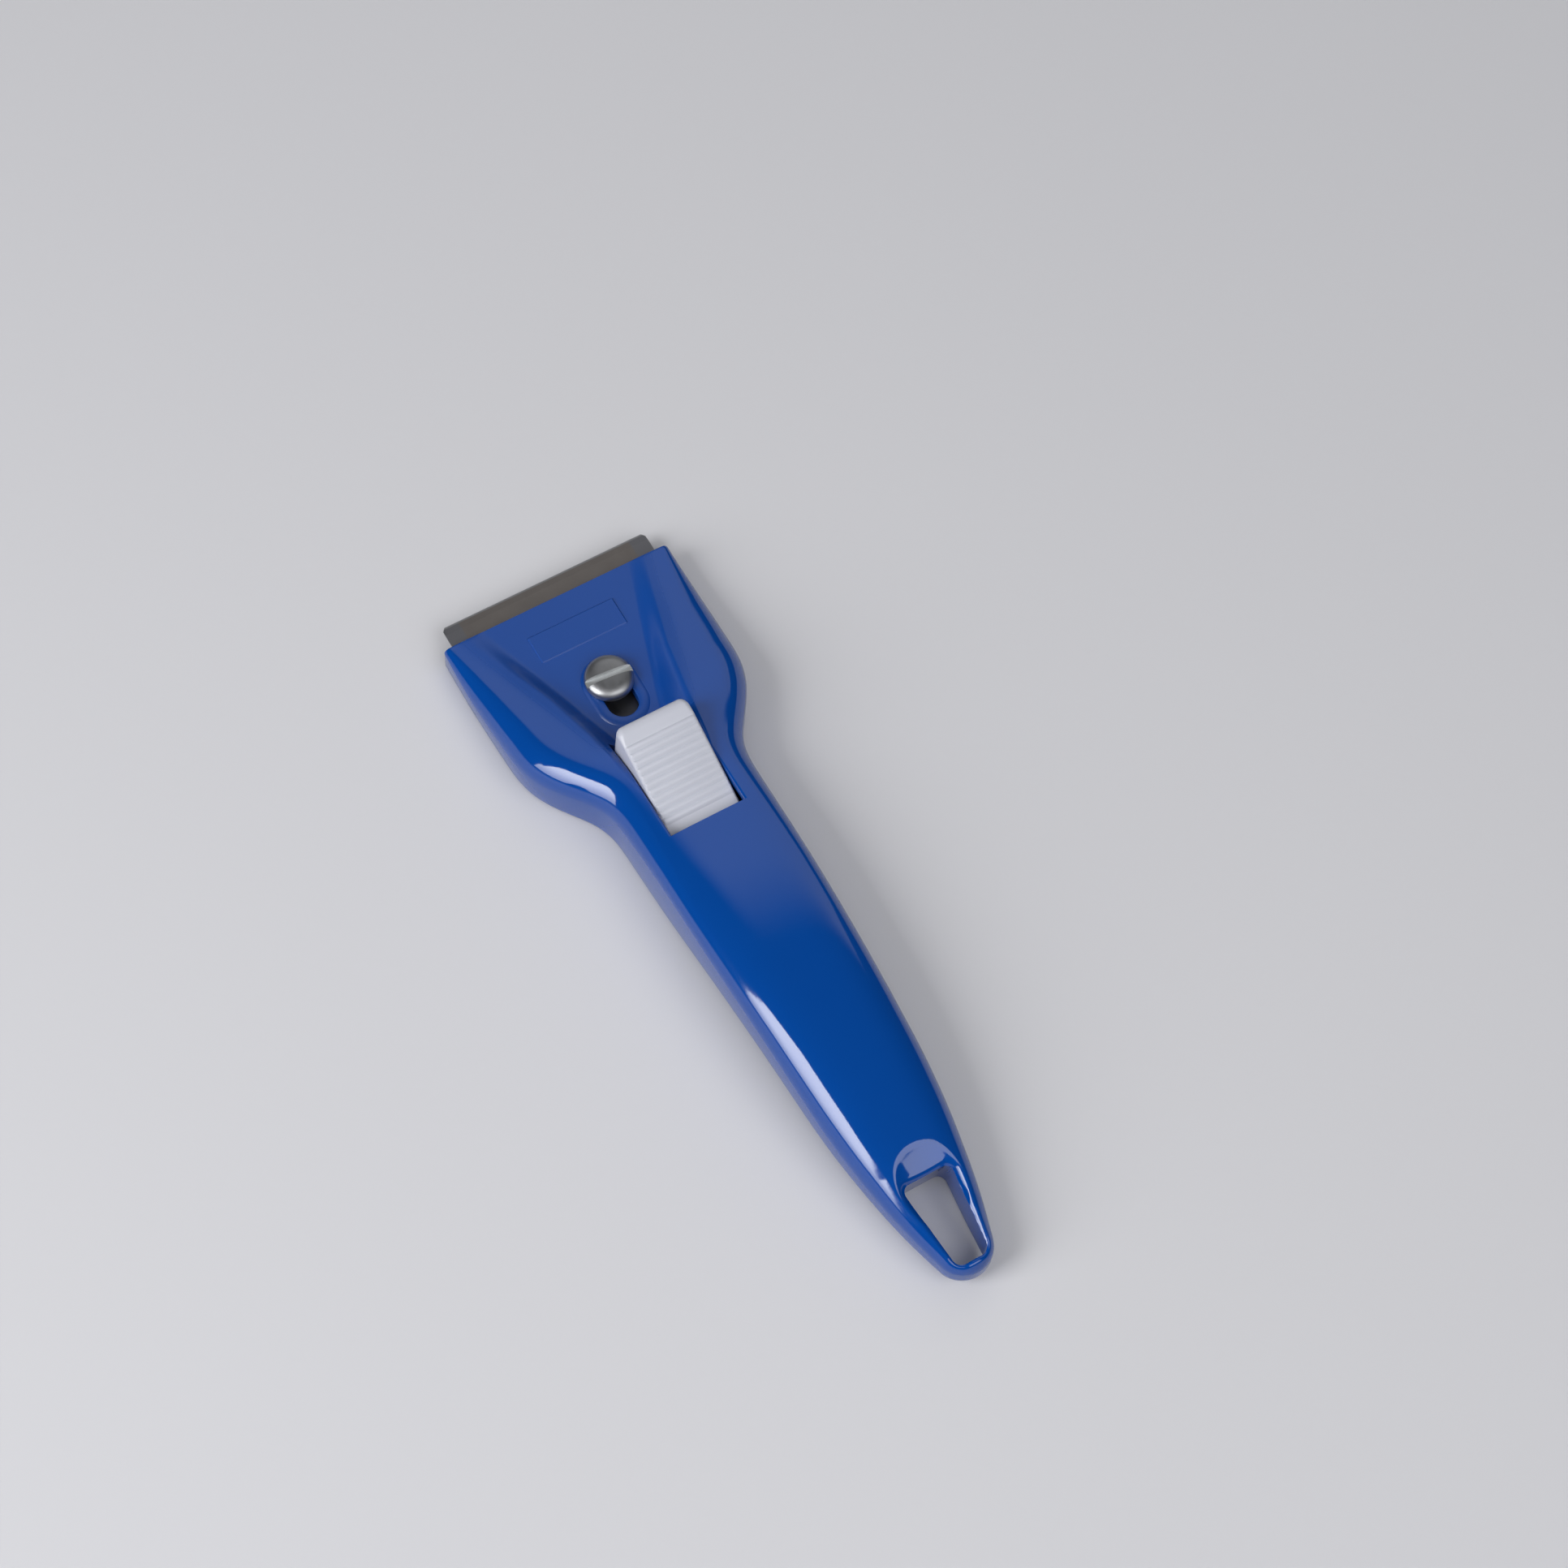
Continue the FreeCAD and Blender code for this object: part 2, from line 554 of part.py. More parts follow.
LEG_PLACES = [f"button_setback + button_length * {share}" for share in LEG_SHARES]
for number, place in enumerate(LEG_PLACES, start=1):
    carrier_bores.append(box(f"leg_slot_{number}", "leg_length + 2 * fit_gap",
                             "2 * (leg_half_width + fit_gap)", "carrier_thickness + 2 * overrun",
                             f"-({place}) - leg_length / 2 - fit_gap",
                             "carrier_level - overrun"))
blade_carrier = cut("blade_carrier", carrier_plate, fuse("carrier_openings", carrier_bores))
finish(blade_carrier, "blade_carrier")

blade_rivets = doc.addObject("Part::Compound", "blade_rivets")
blade_rivets.Links = rivets
finish(blade_rivets, "blade_rivets")


# Scraper blade: thin plate ground to an edge along both long sides, dropped over the two rivets.

BLADE_REAR = "blade_reach - blade_depth"
EDGE_LOW = f"{CARRIER_TOP} + (blade_thickness - edge_thickness) / 2"
EDGE_HIGH = f"{CARRIER_TOP} + (blade_thickness + edge_thickness) / 2"
BLADE_TOP = f"{CARRIER_TOP} + blade_thickness"
blade_blank = side_prism("blade_blank", "blade_length", [
    ("blade_reach", EDGE_LOW),
    ("blade_reach", EDGE_HIGH),
    ("blade_reach - bevel_width", BLADE_TOP),
    (f"{BLADE_REAR} + bevel_width", BLADE_TOP),
    (BLADE_REAR, EDGE_HIGH),
    (BLADE_REAR, EDGE_LOW),
    (f"{BLADE_REAR} + bevel_width", CARRIER_TOP),
    ("blade_reach - bevel_width", CARRIER_TOP),
])
scraper_blade = cut("scraper_blade", blade_blank, fuse("blade_openings", blade_bores))
finish(scraper_blade, "scraper_blade")


# Thumb slide: hollow ribbed button with a foot under the skin, staked to the carrier by two legs.

TOP_EDGE = "button_setback + button_lean"


def button_top(place):
    """Height of the button's sloping top at a distance behind the head's front edge."""
    return f"button_height - ({place} - ({TOP_EDGE})) * tan(button_fall * 1 deg)"


button_block = side_prism("button_block", "2 * button_half_width", [
    ("-button_setback", CARRIER_TOP),
    (f"-({TOP_EDGE})", "button_height"),
    (f"-({BUTTON_REAR})", button_top(BUTTON_REAR)),
    (f"-({BUTTON_REAR})", CARRIER_TOP),
])
button_front = -size["button_setback"] - size["button_lean"] - size["thread_gap"]
button_peak = size["button_height"] - size["thread_gap"]
round_edges(button_block, "button_round",
            lambda edge: edge.BoundBox.XMin > button_front and edge.BoundBox.ZMax > button_peak)

hollow_start = f"{TOP_EDGE} + button_wall"
hollow_end = f"{BUTTON_REAR} - button_wall"
button_hollow = side_prism("button_hollow", "2 * (button_half_width - button_wall)", [
    (f"-({hollow_start})", f"{CARRIER_TOP} - overrun"),
    (f"-({hollow_start})", f"{button_top(hollow_start)} - button_wall"),
    (f"-({hollow_end})", f"{button_top(hollow_end)} - button_wall"),
    (f"-({hollow_end})", f"{CARRIER_TOP} - overrun"),
])

GROOVE_RADIUS_SHARE = 0.6
grooves = []
for index in range(RIDGES):
    along = f"ridge_margin + ridge_pitch * {index}"
    groove = rod(f"groove_{index + 1}", f"ridge_pitch * {GROOVE_RADIUS_SHARE}",
                 "2 * (button_half_width + overrun)",
                 f"-({TOP_EDGE}) - ({along}) * cos(button_fall * 1 deg)"
                 f" + (ridge_pitch * {GROOVE_RADIUS_SHARE} - ridge_depth) * sin(button_fall * 1 deg)",
                 "button_half_width + overrun",
                 f"button_height - ({along}) * sin(button_fall * 1 deg)"
                 f" + (ridge_pitch * {GROOVE_RADIUS_SHARE} - ridge_depth) * cos(button_fall * 1 deg)")
    groove.Placement.Rotation = FreeCAD.Rotation(FreeCAD.Vector(1, 0, 0), 90)
    grooves.append(groove)

foot = box("foot", "button_length - button_lean", "2 * flange_half_width", "flange_thickness",
           f"-({BUTTON_REAR})", CARRIER_TOP)
foot_opening = box("foot_opening", f"{hollow_end} - ({hollow_start})",
                   "2 * (button_half_width - button_wall)",
                   "flange_thickness + 2 * overrun", f"-({hollow_end})", f"{CARRIER_TOP} - overrun")
legs = []
for number, place in enumerate(LEG_PLACES, start=1):
    legs.append(box(f"leg_{number}", "leg_length", "2 * leg_half_width",
                    f"{button_top(place)} - button_wall / 2 - carrier_level + leg_reach",
                    f"-({place}) - leg_length / 2", "carrier_level - leg_reach"))
    legs.append(box(f"stake_{number}", "leg_length + 4 * fit_gap", "2 * leg_half_width + 4 * fit_gap",
                    "leg_reach", f"-({place}) - leg_length / 2 - 2 * fit_gap", "carrier_level - leg_reach"))
button_shell = cut("button_shell", button_block, fuse("button_openings", [button_hollow] + grooves))
foot_frame = cut("foot_frame", foot, foot_opening)
thumb_slide = fuse("thumb_slide", [button_shell, foot_frame] + legs)
finish(thumb_slide, "thumb_slide")


# Clamp screw and nut: slotted pan head on the rim, thread through the carrier into a square nut.

HEAD_SEAT = "floor_height + rim_height + slide_gap / 2"
screw_head = doc.addObject("PartDesign::Body", "screw_head")
head_sketch = polygon(sketch_on(screw_head, "XZ_Plane", "screw_head_side"), [
    ("0", HEAD_SEAT),
    ("screw_head_radius", HEAD_SEAT),
    ("screw_head_radius", f"{HEAD_SEAT} + screw_head_height - screw_head_round"),
    ("screw_head_radius - screw_head_round / 3", f"{HEAD_SEAT} + screw_head_height - screw_head_round / 3"),
    ("screw_head_radius - screw_head_round", f"{HEAD_SEAT} + screw_head_height"),
    ("0", f"{HEAD_SEAT} + screw_head_height"),
])
turned = screw_head.newObject("PartDesign::Revolution", "screw_head_turned")
turned.Profile = head_sketch
turned.ReferenceAxis = (head_sketch, ["V_Axis"])
bind(screw_head, x="-screw_setback")
screw_shank = rod("screw_shank", "screw_radius", f"{HEAD_SEAT} - (carrier_level - nut_thickness)",
                  "-screw_setback", "0", "carrier_level - nut_thickness")
driver_slot = box("driver_slot", "driver_slot_width", "2 * screw_head_radius + overrun",
                  "driver_slot_depth + overrun", "-screw_setback - driver_slot_width / 2",
                  f"{HEAD_SEAT} + screw_head_height - driver_slot_depth")
clamp_screw = cut("clamp_screw", fuse("screw_blank", [screw_head, screw_shank]), driver_slot)
finish(clamp_screw, "clamp_screw")

nut_block = box("nut_block", "nut_side", "nut_side", "nut_thickness", "-screw_setback - nut_side / 2",
                "carrier_level - nut_thickness")
nut_bore = rod("nut_bore", "screw_radius + thread_gap", "nut_thickness + 2 * overrun",
               "-screw_setback", "0", "carrier_level - nut_thickness - overrun")
clamp_nut = cut("clamp_nut", nut_block, nut_bore)
finish(clamp_nut, "clamp_nut")


# Every object has to be sound before anything is written.

doc.recompute()
for item in doc.Objects:
    if "Invalid" in item.State or "Error" in item.State:
        raise RuntimeError(f"{item.Name} failed: {item.State}")
os.makedirs("parts", exist_ok=True)
for piece in finished:
    if piece.Shape.isNull() or not piece.Shape.isValid():
        raise RuntimeError(f"{piece.Label} is not a sound solid")
for piece in finished:
    piece.Shape.exportStep(f"parts/{piece.Label}.step")
    print(piece.Label, len(piece.Shape.Solids), "solids", round(piece.Shape.Volume, 1), "mm3")
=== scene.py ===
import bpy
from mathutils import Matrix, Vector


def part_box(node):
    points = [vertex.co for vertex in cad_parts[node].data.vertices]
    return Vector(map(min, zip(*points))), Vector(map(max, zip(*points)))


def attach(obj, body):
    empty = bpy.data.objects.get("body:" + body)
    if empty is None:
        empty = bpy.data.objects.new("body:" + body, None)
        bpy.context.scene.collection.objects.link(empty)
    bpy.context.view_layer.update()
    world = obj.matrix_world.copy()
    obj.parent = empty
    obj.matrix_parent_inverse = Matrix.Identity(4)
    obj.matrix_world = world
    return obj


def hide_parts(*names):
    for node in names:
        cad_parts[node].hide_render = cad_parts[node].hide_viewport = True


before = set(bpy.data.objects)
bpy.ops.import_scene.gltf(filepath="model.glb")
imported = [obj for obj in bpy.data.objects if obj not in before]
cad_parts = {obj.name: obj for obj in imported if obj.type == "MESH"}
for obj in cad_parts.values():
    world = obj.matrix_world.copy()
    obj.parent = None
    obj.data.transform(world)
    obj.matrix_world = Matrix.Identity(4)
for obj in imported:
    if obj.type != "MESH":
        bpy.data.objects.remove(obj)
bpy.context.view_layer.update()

import math
import bpy
import numpy as np
from mathutils import Quaternion, Vector


# Handle shell
# One glossy blue injection moulding: the flat winged head with its V recess, the thumb window, the
# arched handle and the tail with its hang hole. It is open below, where the base cover closes it.

MM = 0.001
HEAD_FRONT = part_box("handle_shell")[1].x / MM      # places below run back from this edge, in mm
LENGTH = 151
STATIONS = [0, 8, 16, 22.95, 27.94, 33.07, 38.05, 43.94,
            51.94, 64.02, 75.95, 106, 117.93, 130.01, 139.98, 147.07]
HALF_WIDTHS = [23.7, 23.89, 23.84, 23.65, 23.34, 21.95, 19.01, 15.1,
               13.6, 13.3, 13.08, 11.85, 11.09, 9.41, 7.3, 5.31]
TAIL_START, TAIL_CENTRE, TAIL_RADIUS = STATIONS[-1], 145.45, 5.5
TOP_STATIONS = STATIONS + [LENGTH]
TOP_LEVELS = [6.39, 7.4, 9.1, 10.69, 11.8, 12.8, 13.6, 14.3,
              14.89, 15.8, 16.55, 16.55, 15.0, 12.6, 10.45, 9.3, 8.9]
SIDE_ROOM, TOP_ROOM = 0.06, 0.03                   # how far its outline and top line stay inside the solid's
FRONT_ROUND = 0.45
RECESS_FOOT = ([-2, 31, 45], [15.8, 4.9, 1.0])     # places, and half widths of the recess floor there
RECESS_CREST = ([-2, 20, 31, 45], [19.6, 12.6, 10.4, 8.2])
RECESS_END = RECESS_FOOT[0][-1]


def smooth_line(places, values, wanted):
    """Heights of a natural cubic spline through the given places and values."""
    places, values = np.array(places, float), np.array(values, float)
    gap, count = np.diff(places), len(places)
    slope = np.diff(values) / gap
    system, right = np.eye(count), np.zeros(count)
    for i in range(1, count - 1):
        system[i, i - 1:i + 2] = gap[i - 1], 2 * (gap[i - 1] + gap[i]), gap[i]
        right[i] = 6 * (slope[i] - slope[i - 1])
    bend = np.linalg.solve(system, right)
    i = np.clip(np.searchsorted(places, wanted) - 1, 0, count - 2)
    t = wanted - places[i]
    first = slope[i] - gap[i] * (2 * bend[i] + bend[i + 1]) / 6
    return values[i] + t * (first + t * (bend[i] / 2 + t * (bend[i + 1] - bend[i]) / (6 * gap[i])))


# Rows of points run over the rounded front edge, along the tool and round the tail
ROW_STEPS = [(FRONT_ROUND, 28, 0.6), (28, 60, 0.35), (60, 126, 0.8), (126, 147, 0.3)]
TAIL_TURN, TAIL_ROWS = 17.3, 22
front_turn = np.radians([90, 60, 30])
straight = np.concatenate([np.arange(*steps) for steps in ROW_STEPS] + [[TAIL_START]])
front_inset = np.concatenate([FRONT_ROUND * (1 - np.cos(front_turn)), np.zeros(straight.size)])
straight = np.concatenate([FRONT_ROUND * (1 - np.sin(front_turn)), straight])
tail_turn = np.radians(np.linspace(TAIL_TURN, 90, TAIL_ROWS))[1:]
outline_place = np.concatenate([straight, TAIL_CENTRE + TAIL_RADIUS * np.sin(tail_turn)])[:, None]
outline_half = np.concatenate([smooth_line(STATIONS, HALF_WIDTHS, straight) - SIDE_ROOM - front_inset,
                               TAIL_RADIUS * np.cos(tail_turn)])[:, None]
front_inset = np.concatenate([front_inset, np.zeros(tail_turn.size)])[:, None]
spine = np.minimum(outline_place, TAIL_START)

# Columns follow the foot and the crest of the recess flanks, and close up towards the outline
FLOOR_COLUMNS, FLANK_COLUMNS, WING_COLUMNS, SOLE_COLUMNS = 23, 27, 35, 25
follow = np.minimum(outline_place, RECESS_END)
follow_half = smooth_line(STATIONS, HALF_WIDTHS, follow)
foot_share = np.interp(follow, *RECESS_FOOT) / follow_half
crest_share = np.interp(follow, *RECESS_CREST) / follow_half
wing_turn = np.radians(np.linspace(0, 90, WING_COLUMNS))
column = np.concatenate([np.linspace(0, 1, FLOOR_COLUMNS), np.linspace(1, 2, FLANK_COLUMNS)[1:],
                         2 + np.sin(wing_turn)[1:]])
half_share = np.array([np.interp(column, [0, 1, 2, 3], [0, foot, crest, 1])
                       for foot, crest in zip(foot_share[:, 0], crest_share[:, 0])])
sole_turn = np.radians(np.linspace(-90, 90, SOLE_COLUMNS))
sole_share = np.tile(np.sin(sole_turn), (outline_half.size, 1))
share = np.concatenate([half_share[:, ::-1], -half_share[:, 1:], sole_share], axis=1)
top_count = 2 * column.size - 1
across = share * outline_half
along = spine + np.abs(share) * (outline_place - spine)

# How far each point lies inside the outline, for the rounded edges
row_nudge = 1e-6 * np.arange(outline_place.size)   # keeps neighbouring rows apart in the slope
lean = np.gradient(outline_half[:, 0], outline_place[:, 0] + row_nudge)
inside = (outline_half - np.abs(across)) * np.cos(np.arctan(lean))[:, None]
inside = np.where(outline_place > TAIL_START, TAIL_RADIUS - np.hypot(along - TAIL_CENTRE, across), inside)
inside = np.clip(inside, 0, None)


def drop(radius, depth):
    """How far a rounded edge of that radius has fallen at a depth inside the edge."""
    short = np.clip(radius - depth, 0, radius)
    return radius - np.sqrt(radius ** 2 - short ** 2)


# Top with its crown, and the bowed underside
ARCH = ([0, 20, 35, 50, 64, 85, 105, 118, 130, 140, 151],
        [0.05, 0.2, 0.5, 0.9, 1.4, 2.8, 3.8, 3.8, 3.0, 1.6, 0.8])
ARCH_MIDDLE, ARCH_SIDES = 0.2, 0.8                 # shares of the crown that fall evenly and near the sides
EDGE_ROUND = ([0, 3, 8, 14, 24, 32, 45, 58, 70, 105, 151],
              [1.0, 1.8, 2.9, 3.9, 5.0, 5.4, 4.7, 3.4, 2.6, 1.8, 2.2])
BOW_STATIONS = [56.8, 64.34, 75.64, 105.78, 118.03, 130.28, 139.7, 147.23, LENGTH]
BOW_LEVELS = [0, 0.455, 2.205, 3.255, 2.31, 1.19, 0.35, 0.035, 0]
SOLE_ROUND, SOLE_ROUND_GAIN = 0.8, 3.2
skin = smooth_line(TOP_STATIONS, TOP_LEVELS, along) - TOP_ROOM - front_inset
skin = skin - np.interp(along, *ARCH) * (ARCH_MIDDLE * share ** 2 + ARCH_SIDES * share ** 4)
skin = skin - drop(np.interp(along, *EDGE_ROUND), inside)
bow = np.where(along > BOW_STATIONS[0], smooth_line(BOW_STATIONS, BOW_LEVELS, along), 0)
sole = np.clip(bow, 0, None) + front_inset
sole = sole + drop(SOLE_ROUND + SOLE_ROUND_GAIN * along / LENGTH, inside)


def ease(value, start, stop):
    """A soft step from 0 at the start to 1 at the stop."""
    t = np.clip((value - start) / (stop - start), 0, 1)
    return t ** 2 * (3 - 2 * t)


def soft_min(a, b, width):
    """The lower of two surfaces, rounded over where they cross."""
    blend = np.clip(width - np.abs(a - b), 0, None) / width
    return np.minimum(a, b) - blend ** 3 * width / 6


# V recess with soft ridges, which runs out beside the window
RECESS_FLOOR, RECESS_RISE = 6.0, 0.018
RUN_OUT_START, RUN_OUT_STOP = 38, 50
climb = ease(np.abs(across), np.interp(along, *RECESS_FOOT), np.interp(along, *RECESS_CREST))
run_out = ease(along, RUN_OUT_START, RUN_OUT_STOP)
spare = np.clip(skin - RECESS_FLOOR - RECESS_RISE * along, 0, None)
skin = skin - spare * (1 - climb) * (1 - run_out)

# Scooped facet before the hang hole, cut by a ball, and the hole's rounded lips
SCOOP_PLACE, SCOOP_LEVEL, SCOOP_RADIUS, SCOOP_EDGE = 138, 25.3, 16, 0.4
HOLE_FRONT, HOLE_REAR = 132.7, 149.1
HOLE_WIDE, HOLE_NARROW, HOLE_CORNER = 5.0, 3.2, 1.7    # half widths in front and at the rear, and the radius
HOLE_LIP_DEPTH, HOLE_LIP_WIDTH = 0.75, 1.1
scoop_away = np.clip(np.hypot(along - SCOOP_PLACE, across), 0, SCOOP_RADIUS - 0.1)
skin = soft_min(skin, SCOOP_LEVEL - np.sqrt(SCOOP_RADIUS ** 2 - scoop_away ** 2), SCOOP_EDGE)
hole_half = np.interp(along, [HOLE_FRONT, HOLE_REAR], [HOLE_WIDE, HOLE_NARROW])
past_side = np.clip(np.abs(across) - hole_half + HOLE_CORNER, 0, None)
past_end = np.clip(np.maximum(HOLE_FRONT + HOLE_CORNER - along, along - HOLE_REAR + HOLE_CORNER), 0, None)
hole_away = np.clip(np.hypot(past_side, past_end) - HOLE_CORNER, 0, None)
hole_lip = HOLE_LIP_DEPTH * np.clip(1 - hole_away / HOLE_LIP_WIDTH, 0, 1) ** 2
skin, sole = skin - hole_lip, sole + hole_lip


SAME_POINT = 0.002                                 # points closer than this are merged


def loft(name, rings):
    """A closed skin over rings of points in mm, with both ends filled."""
    bpy.ops.object.select_all(action="DESELECT")
    rings = np.concatenate([rings, rings[:, :1]], axis=1)
    rows, columns = rings.shape[:2]
    bpy.ops.mesh.primitive_grid_add(x_subdivisions=columns - 1, y_subdivisions=rows - 1, size=1)
    piece = bpy.context.object
    piece.name = piece.data.name = name
    piece.data.vertices.foreach_set("co", (rings.reshape(-1, 3) * MM).ravel())
    bpy.ops.object.mode_set(mode="EDIT")
    bpy.ops.mesh.select_all(action="SELECT")
    bpy.ops.mesh.remove_doubles(threshold=SAME_POINT * MM)
    bpy.ops.mesh.fill_holes(sides=0)
    bpy.ops.mesh.select_all(action="SELECT")
    bpy.ops.mesh.normals_make_consistent(inside=False)
    bpy.ops.object.mode_set(mode="OBJECT")
    return piece


level = np.concatenate([skin[:, :top_count], sole[:, top_count:]], axis=1)
shell = loft("handle_moulding", np.stack([HEAD_FRONT - along, across, level], axis=2))


def only(piece):
    """Leave one piece selected and active."""
    bpy.ops.object.select_all(action="DESELECT")
    piece.select_set(True)
    bpy.context.view_layer.objects.active = piece


def carve(piece, tool, operation="DIFFERENCE"):
    """Cut one piece with another, or join it on, and drop the tool."""
    modifier = piece.modifiers.new("carve", "BOOLEAN")
    modifier.operation = operation
    modifier.solver = "EXACT"
    modifier.object = tool
    only(piece)
    bpy.ops.object.modifier_apply(modifier=modifier.name)
    bpy.data.objects.remove(tool)


def block(name, places, half_width, levels, bevel=0.0, steps=3):
    """A block from one distance behind the head's edge to another, with its edges bevelled."""
    bpy.ops.object.select_all(action="DESELECT")
    middle = (HEAD_FRONT - sum(places) / 2, 0, sum(levels) / 2)
    bpy.ops.mesh.primitive_cube_add(size=1, location=[value * MM for value in middle])
    piece = bpy.context.object
    piece.name = piece.data.name = name
    lengths = (places[1] - places[0], 2 * half_width, levels[1] - levels[0])
    piece.scale = [value * MM for value in lengths]
    bpy.ops.object.transform_apply(location=True, rotation=True, scale=True)
    if bevel:
        bpy.ops.object.mode_set(mode="EDIT")
        bpy.ops.mesh.select_all(action="SELECT")
        bpy.ops.mesh.bevel(offset=bevel * MM, segments=steps, affect="EDGES")
        bpy.ops.object.mode_set(mode="OBJECT")
    return piece


# Rounded rim round the screw slot, and the plain field in front of it
SLOT_PLACE, SLOT_HALF, SLOT_STROKE = 20.5, 3.0, 5.2
RIM_RADIUS, RIM_STEPS = 4.0, 25
RIM_SECTION = np.array([(-1.2, 5.2), (-1.2, 6.35), (-0.95, 6.62), (-0.5, 6.74), (0, 6.77), (0.5, 6.73),
                        (0.9, 6.6), (1.2, 6.4), (1.4, 6.15), (1.45, 5.2)])
FIELD_PLACES, FIELD_HALF, FIELD_LEVELS, FIELD_CHAMFER = (5.4, 11.4), 9.0, (5.0, 6.43), 0.2
around = np.radians(np.concatenate([np.linspace(-90, 90, RIM_STEPS), np.linspace(90, 270, RIM_STEPS)]))
step_back = np.repeat([0, SLOT_STROKE], RIM_STEPS)
rim_reach = RIM_RADIUS + RIM_SECTION[None, :, 0]
rim = np.stack([HEAD_FRONT - SLOT_PLACE - step_back[:, None] + rim_reach * np.cos(around)[:, None],
                rim_reach * np.sin(around)[:, None],
                np.tile(RIM_SECTION[:, 1], (around.size, 1))], axis=2)
carve(shell, loft("rim", np.concatenate([rim, rim[:1]])), "UNION")
carve(shell, block("field", FIELD_PLACES, FIELD_HALF, FIELD_LEVELS, FIELD_CHAMFER, 1), "UNION")


def rod(name, place, side, radius, levels, facets=48):
    """An upright round bar at a distance behind the head's edge."""
    bpy.ops.object.select_all(action="DESELECT")
    centre = (HEAD_FRONT - place, side, sum(levels) / 2)
    bpy.ops.mesh.primitive_cylinder_add(vertices=facets, radius=radius * MM,
                                        depth=(levels[1] - levels[0]) * MM,
                                        location=[value * MM for value in centre])
    piece = bpy.context.object
    piece.name = piece.data.name = name
    bpy.ops.object.transform_apply(location=True, rotation=True, scale=True)
    return piece


# Core that leaves the hollow with its two screw bosses, and the channels for the carrier and the button
BELOW, WITHIN, ABOVE = -2, 3, 20                   # levels under the sole, in the hollow and over the top
HOLLOW_FRONT, HOLLOW_REAR, HOLLOW_RINGS, HOLLOW_WALL = 43.94, 117.93, 75, 4.4
HOLLOW_ROOF = ([62, 85], [2.0, 3.2])
BOSSES = [(76.2, 3.9), (105.93, 5.1)]              # place and foot of each boss
BOSS_RADIUS, PILOT_RADIUS, PILOT_DOWN, PILOT_UP = 3.0, 1.25, 3, 5
WINDOW_FRONT, WINDOW_REAR, WINDOW_HALF = 33.5, 57.2, 7.5
CHANNELS = [("head_channel", (-2, 24), 22, (BELOW, 4.6)),
            ("tongue_channel", (-1, 45.94), 8.6, (BELOW, 4.6)),
            ("foot_channel", (36.1, 45.94), 8.6, (WITHIN, 5.6)),
            ("skin_relief", (55.2, 62.4), WINDOW_HALF, (WITHIN, 14.3))]
hollow_place = np.linspace(HOLLOW_FRONT, HOLLOW_REAR, HOLLOW_RINGS)
hollow_half = smooth_line(STATIONS, HALF_WIDTHS, hollow_place) - HOLLOW_WALL
hollow_top = smooth_line(TOP_STATIONS, TOP_LEVELS, hollow_place) - np.interp(hollow_place, *HOLLOW_ROOF)
hollow_rings = []
for x, half, top in zip(HEAD_FRONT - hollow_place, hollow_half, hollow_top):
    hollow_rings.append([(x, half, BELOW), (x, -half, BELOW), (x, -half, top), (x, half, top)])
core = loft("core", np.array(hollow_rings))
for boss_place, boss_foot in BOSSES:
    carve(core, rod("boss", boss_place, 0, BOSS_RADIUS, (boss_foot, ABOVE)))
    pilot_levels = (boss_foot - PILOT_DOWN, boss_foot + PILOT_UP)
    carve(core, rod("pilot", boss_place, 0, PILOT_RADIUS, pilot_levels), "UNION")
for name, places, half_width, levels in CHANNELS:
    carve(core, block(name, places, half_width, levels), "UNION")

# Thumb window, whose rounded lips follow the skin and grow from its front to the rear
WINDOW_LIP, WINDOW_LIP_FRONT, WINDOW_LIP_GROWTH = 0.45, 0.12, 7
WINDOW_RINGS, WINDOW_LIP_STEPS = 68, 6
edge_levels = [np.interp(WINDOW_HALF + WINDOW_LIP, row_across, row_skin)
               for row_across, row_skin in zip(across[:, top_count - 1::-1], skin[:, top_count - 1::-1])]
window_rings = []
for window_place in np.linspace(WINDOW_FRONT, WINDOW_REAR, WINDOW_RINGS):
    brim = np.interp(window_place, outline_place[:, 0], edge_levels)
    lip_round = np.interp(window_place, [WINDOW_FRONT, WINDOW_FRONT + WINDOW_LIP_GROWTH],
                          [WINDOW_LIP_FRONT, WINDOW_LIP])
    left = [(WINDOW_HALF, WITHIN)]
    for turn in np.radians(np.linspace(0, 90, WINDOW_LIP_STEPS)):
        left.append((WINDOW_HALF + lip_round * (1 - math.cos(turn)), brim - lip_round * (1 - math.sin(turn))))
    left.append((WINDOW_HALF + lip_round, ABOVE))
    x = HEAD_FRONT - window_place
    window_rings.append([(x, y, z) for y, z in left] + [(x, -y, z) for y, z in left[::-1]])
carve(core, loft("window", np.array(window_rings)), "UNION")

# Slot for the clamp screw: a round bar whose rear half is drawn back by the stroke
SLOT_TOP, SLOT_FACETS = 10, 64
slot = rod("slot", SLOT_PLACE, 0, SLOT_HALF, (WITHIN, SLOT_TOP), SLOT_FACETS)
for vertex in slot.data.vertices:
    if vertex.co.x < (HEAD_FRONT - SLOT_PLACE - 0.01) * MM:
        vertex.co.x -= SLOT_STROKE * MM
carve(core, slot, "UNION")
carve(shell, core)

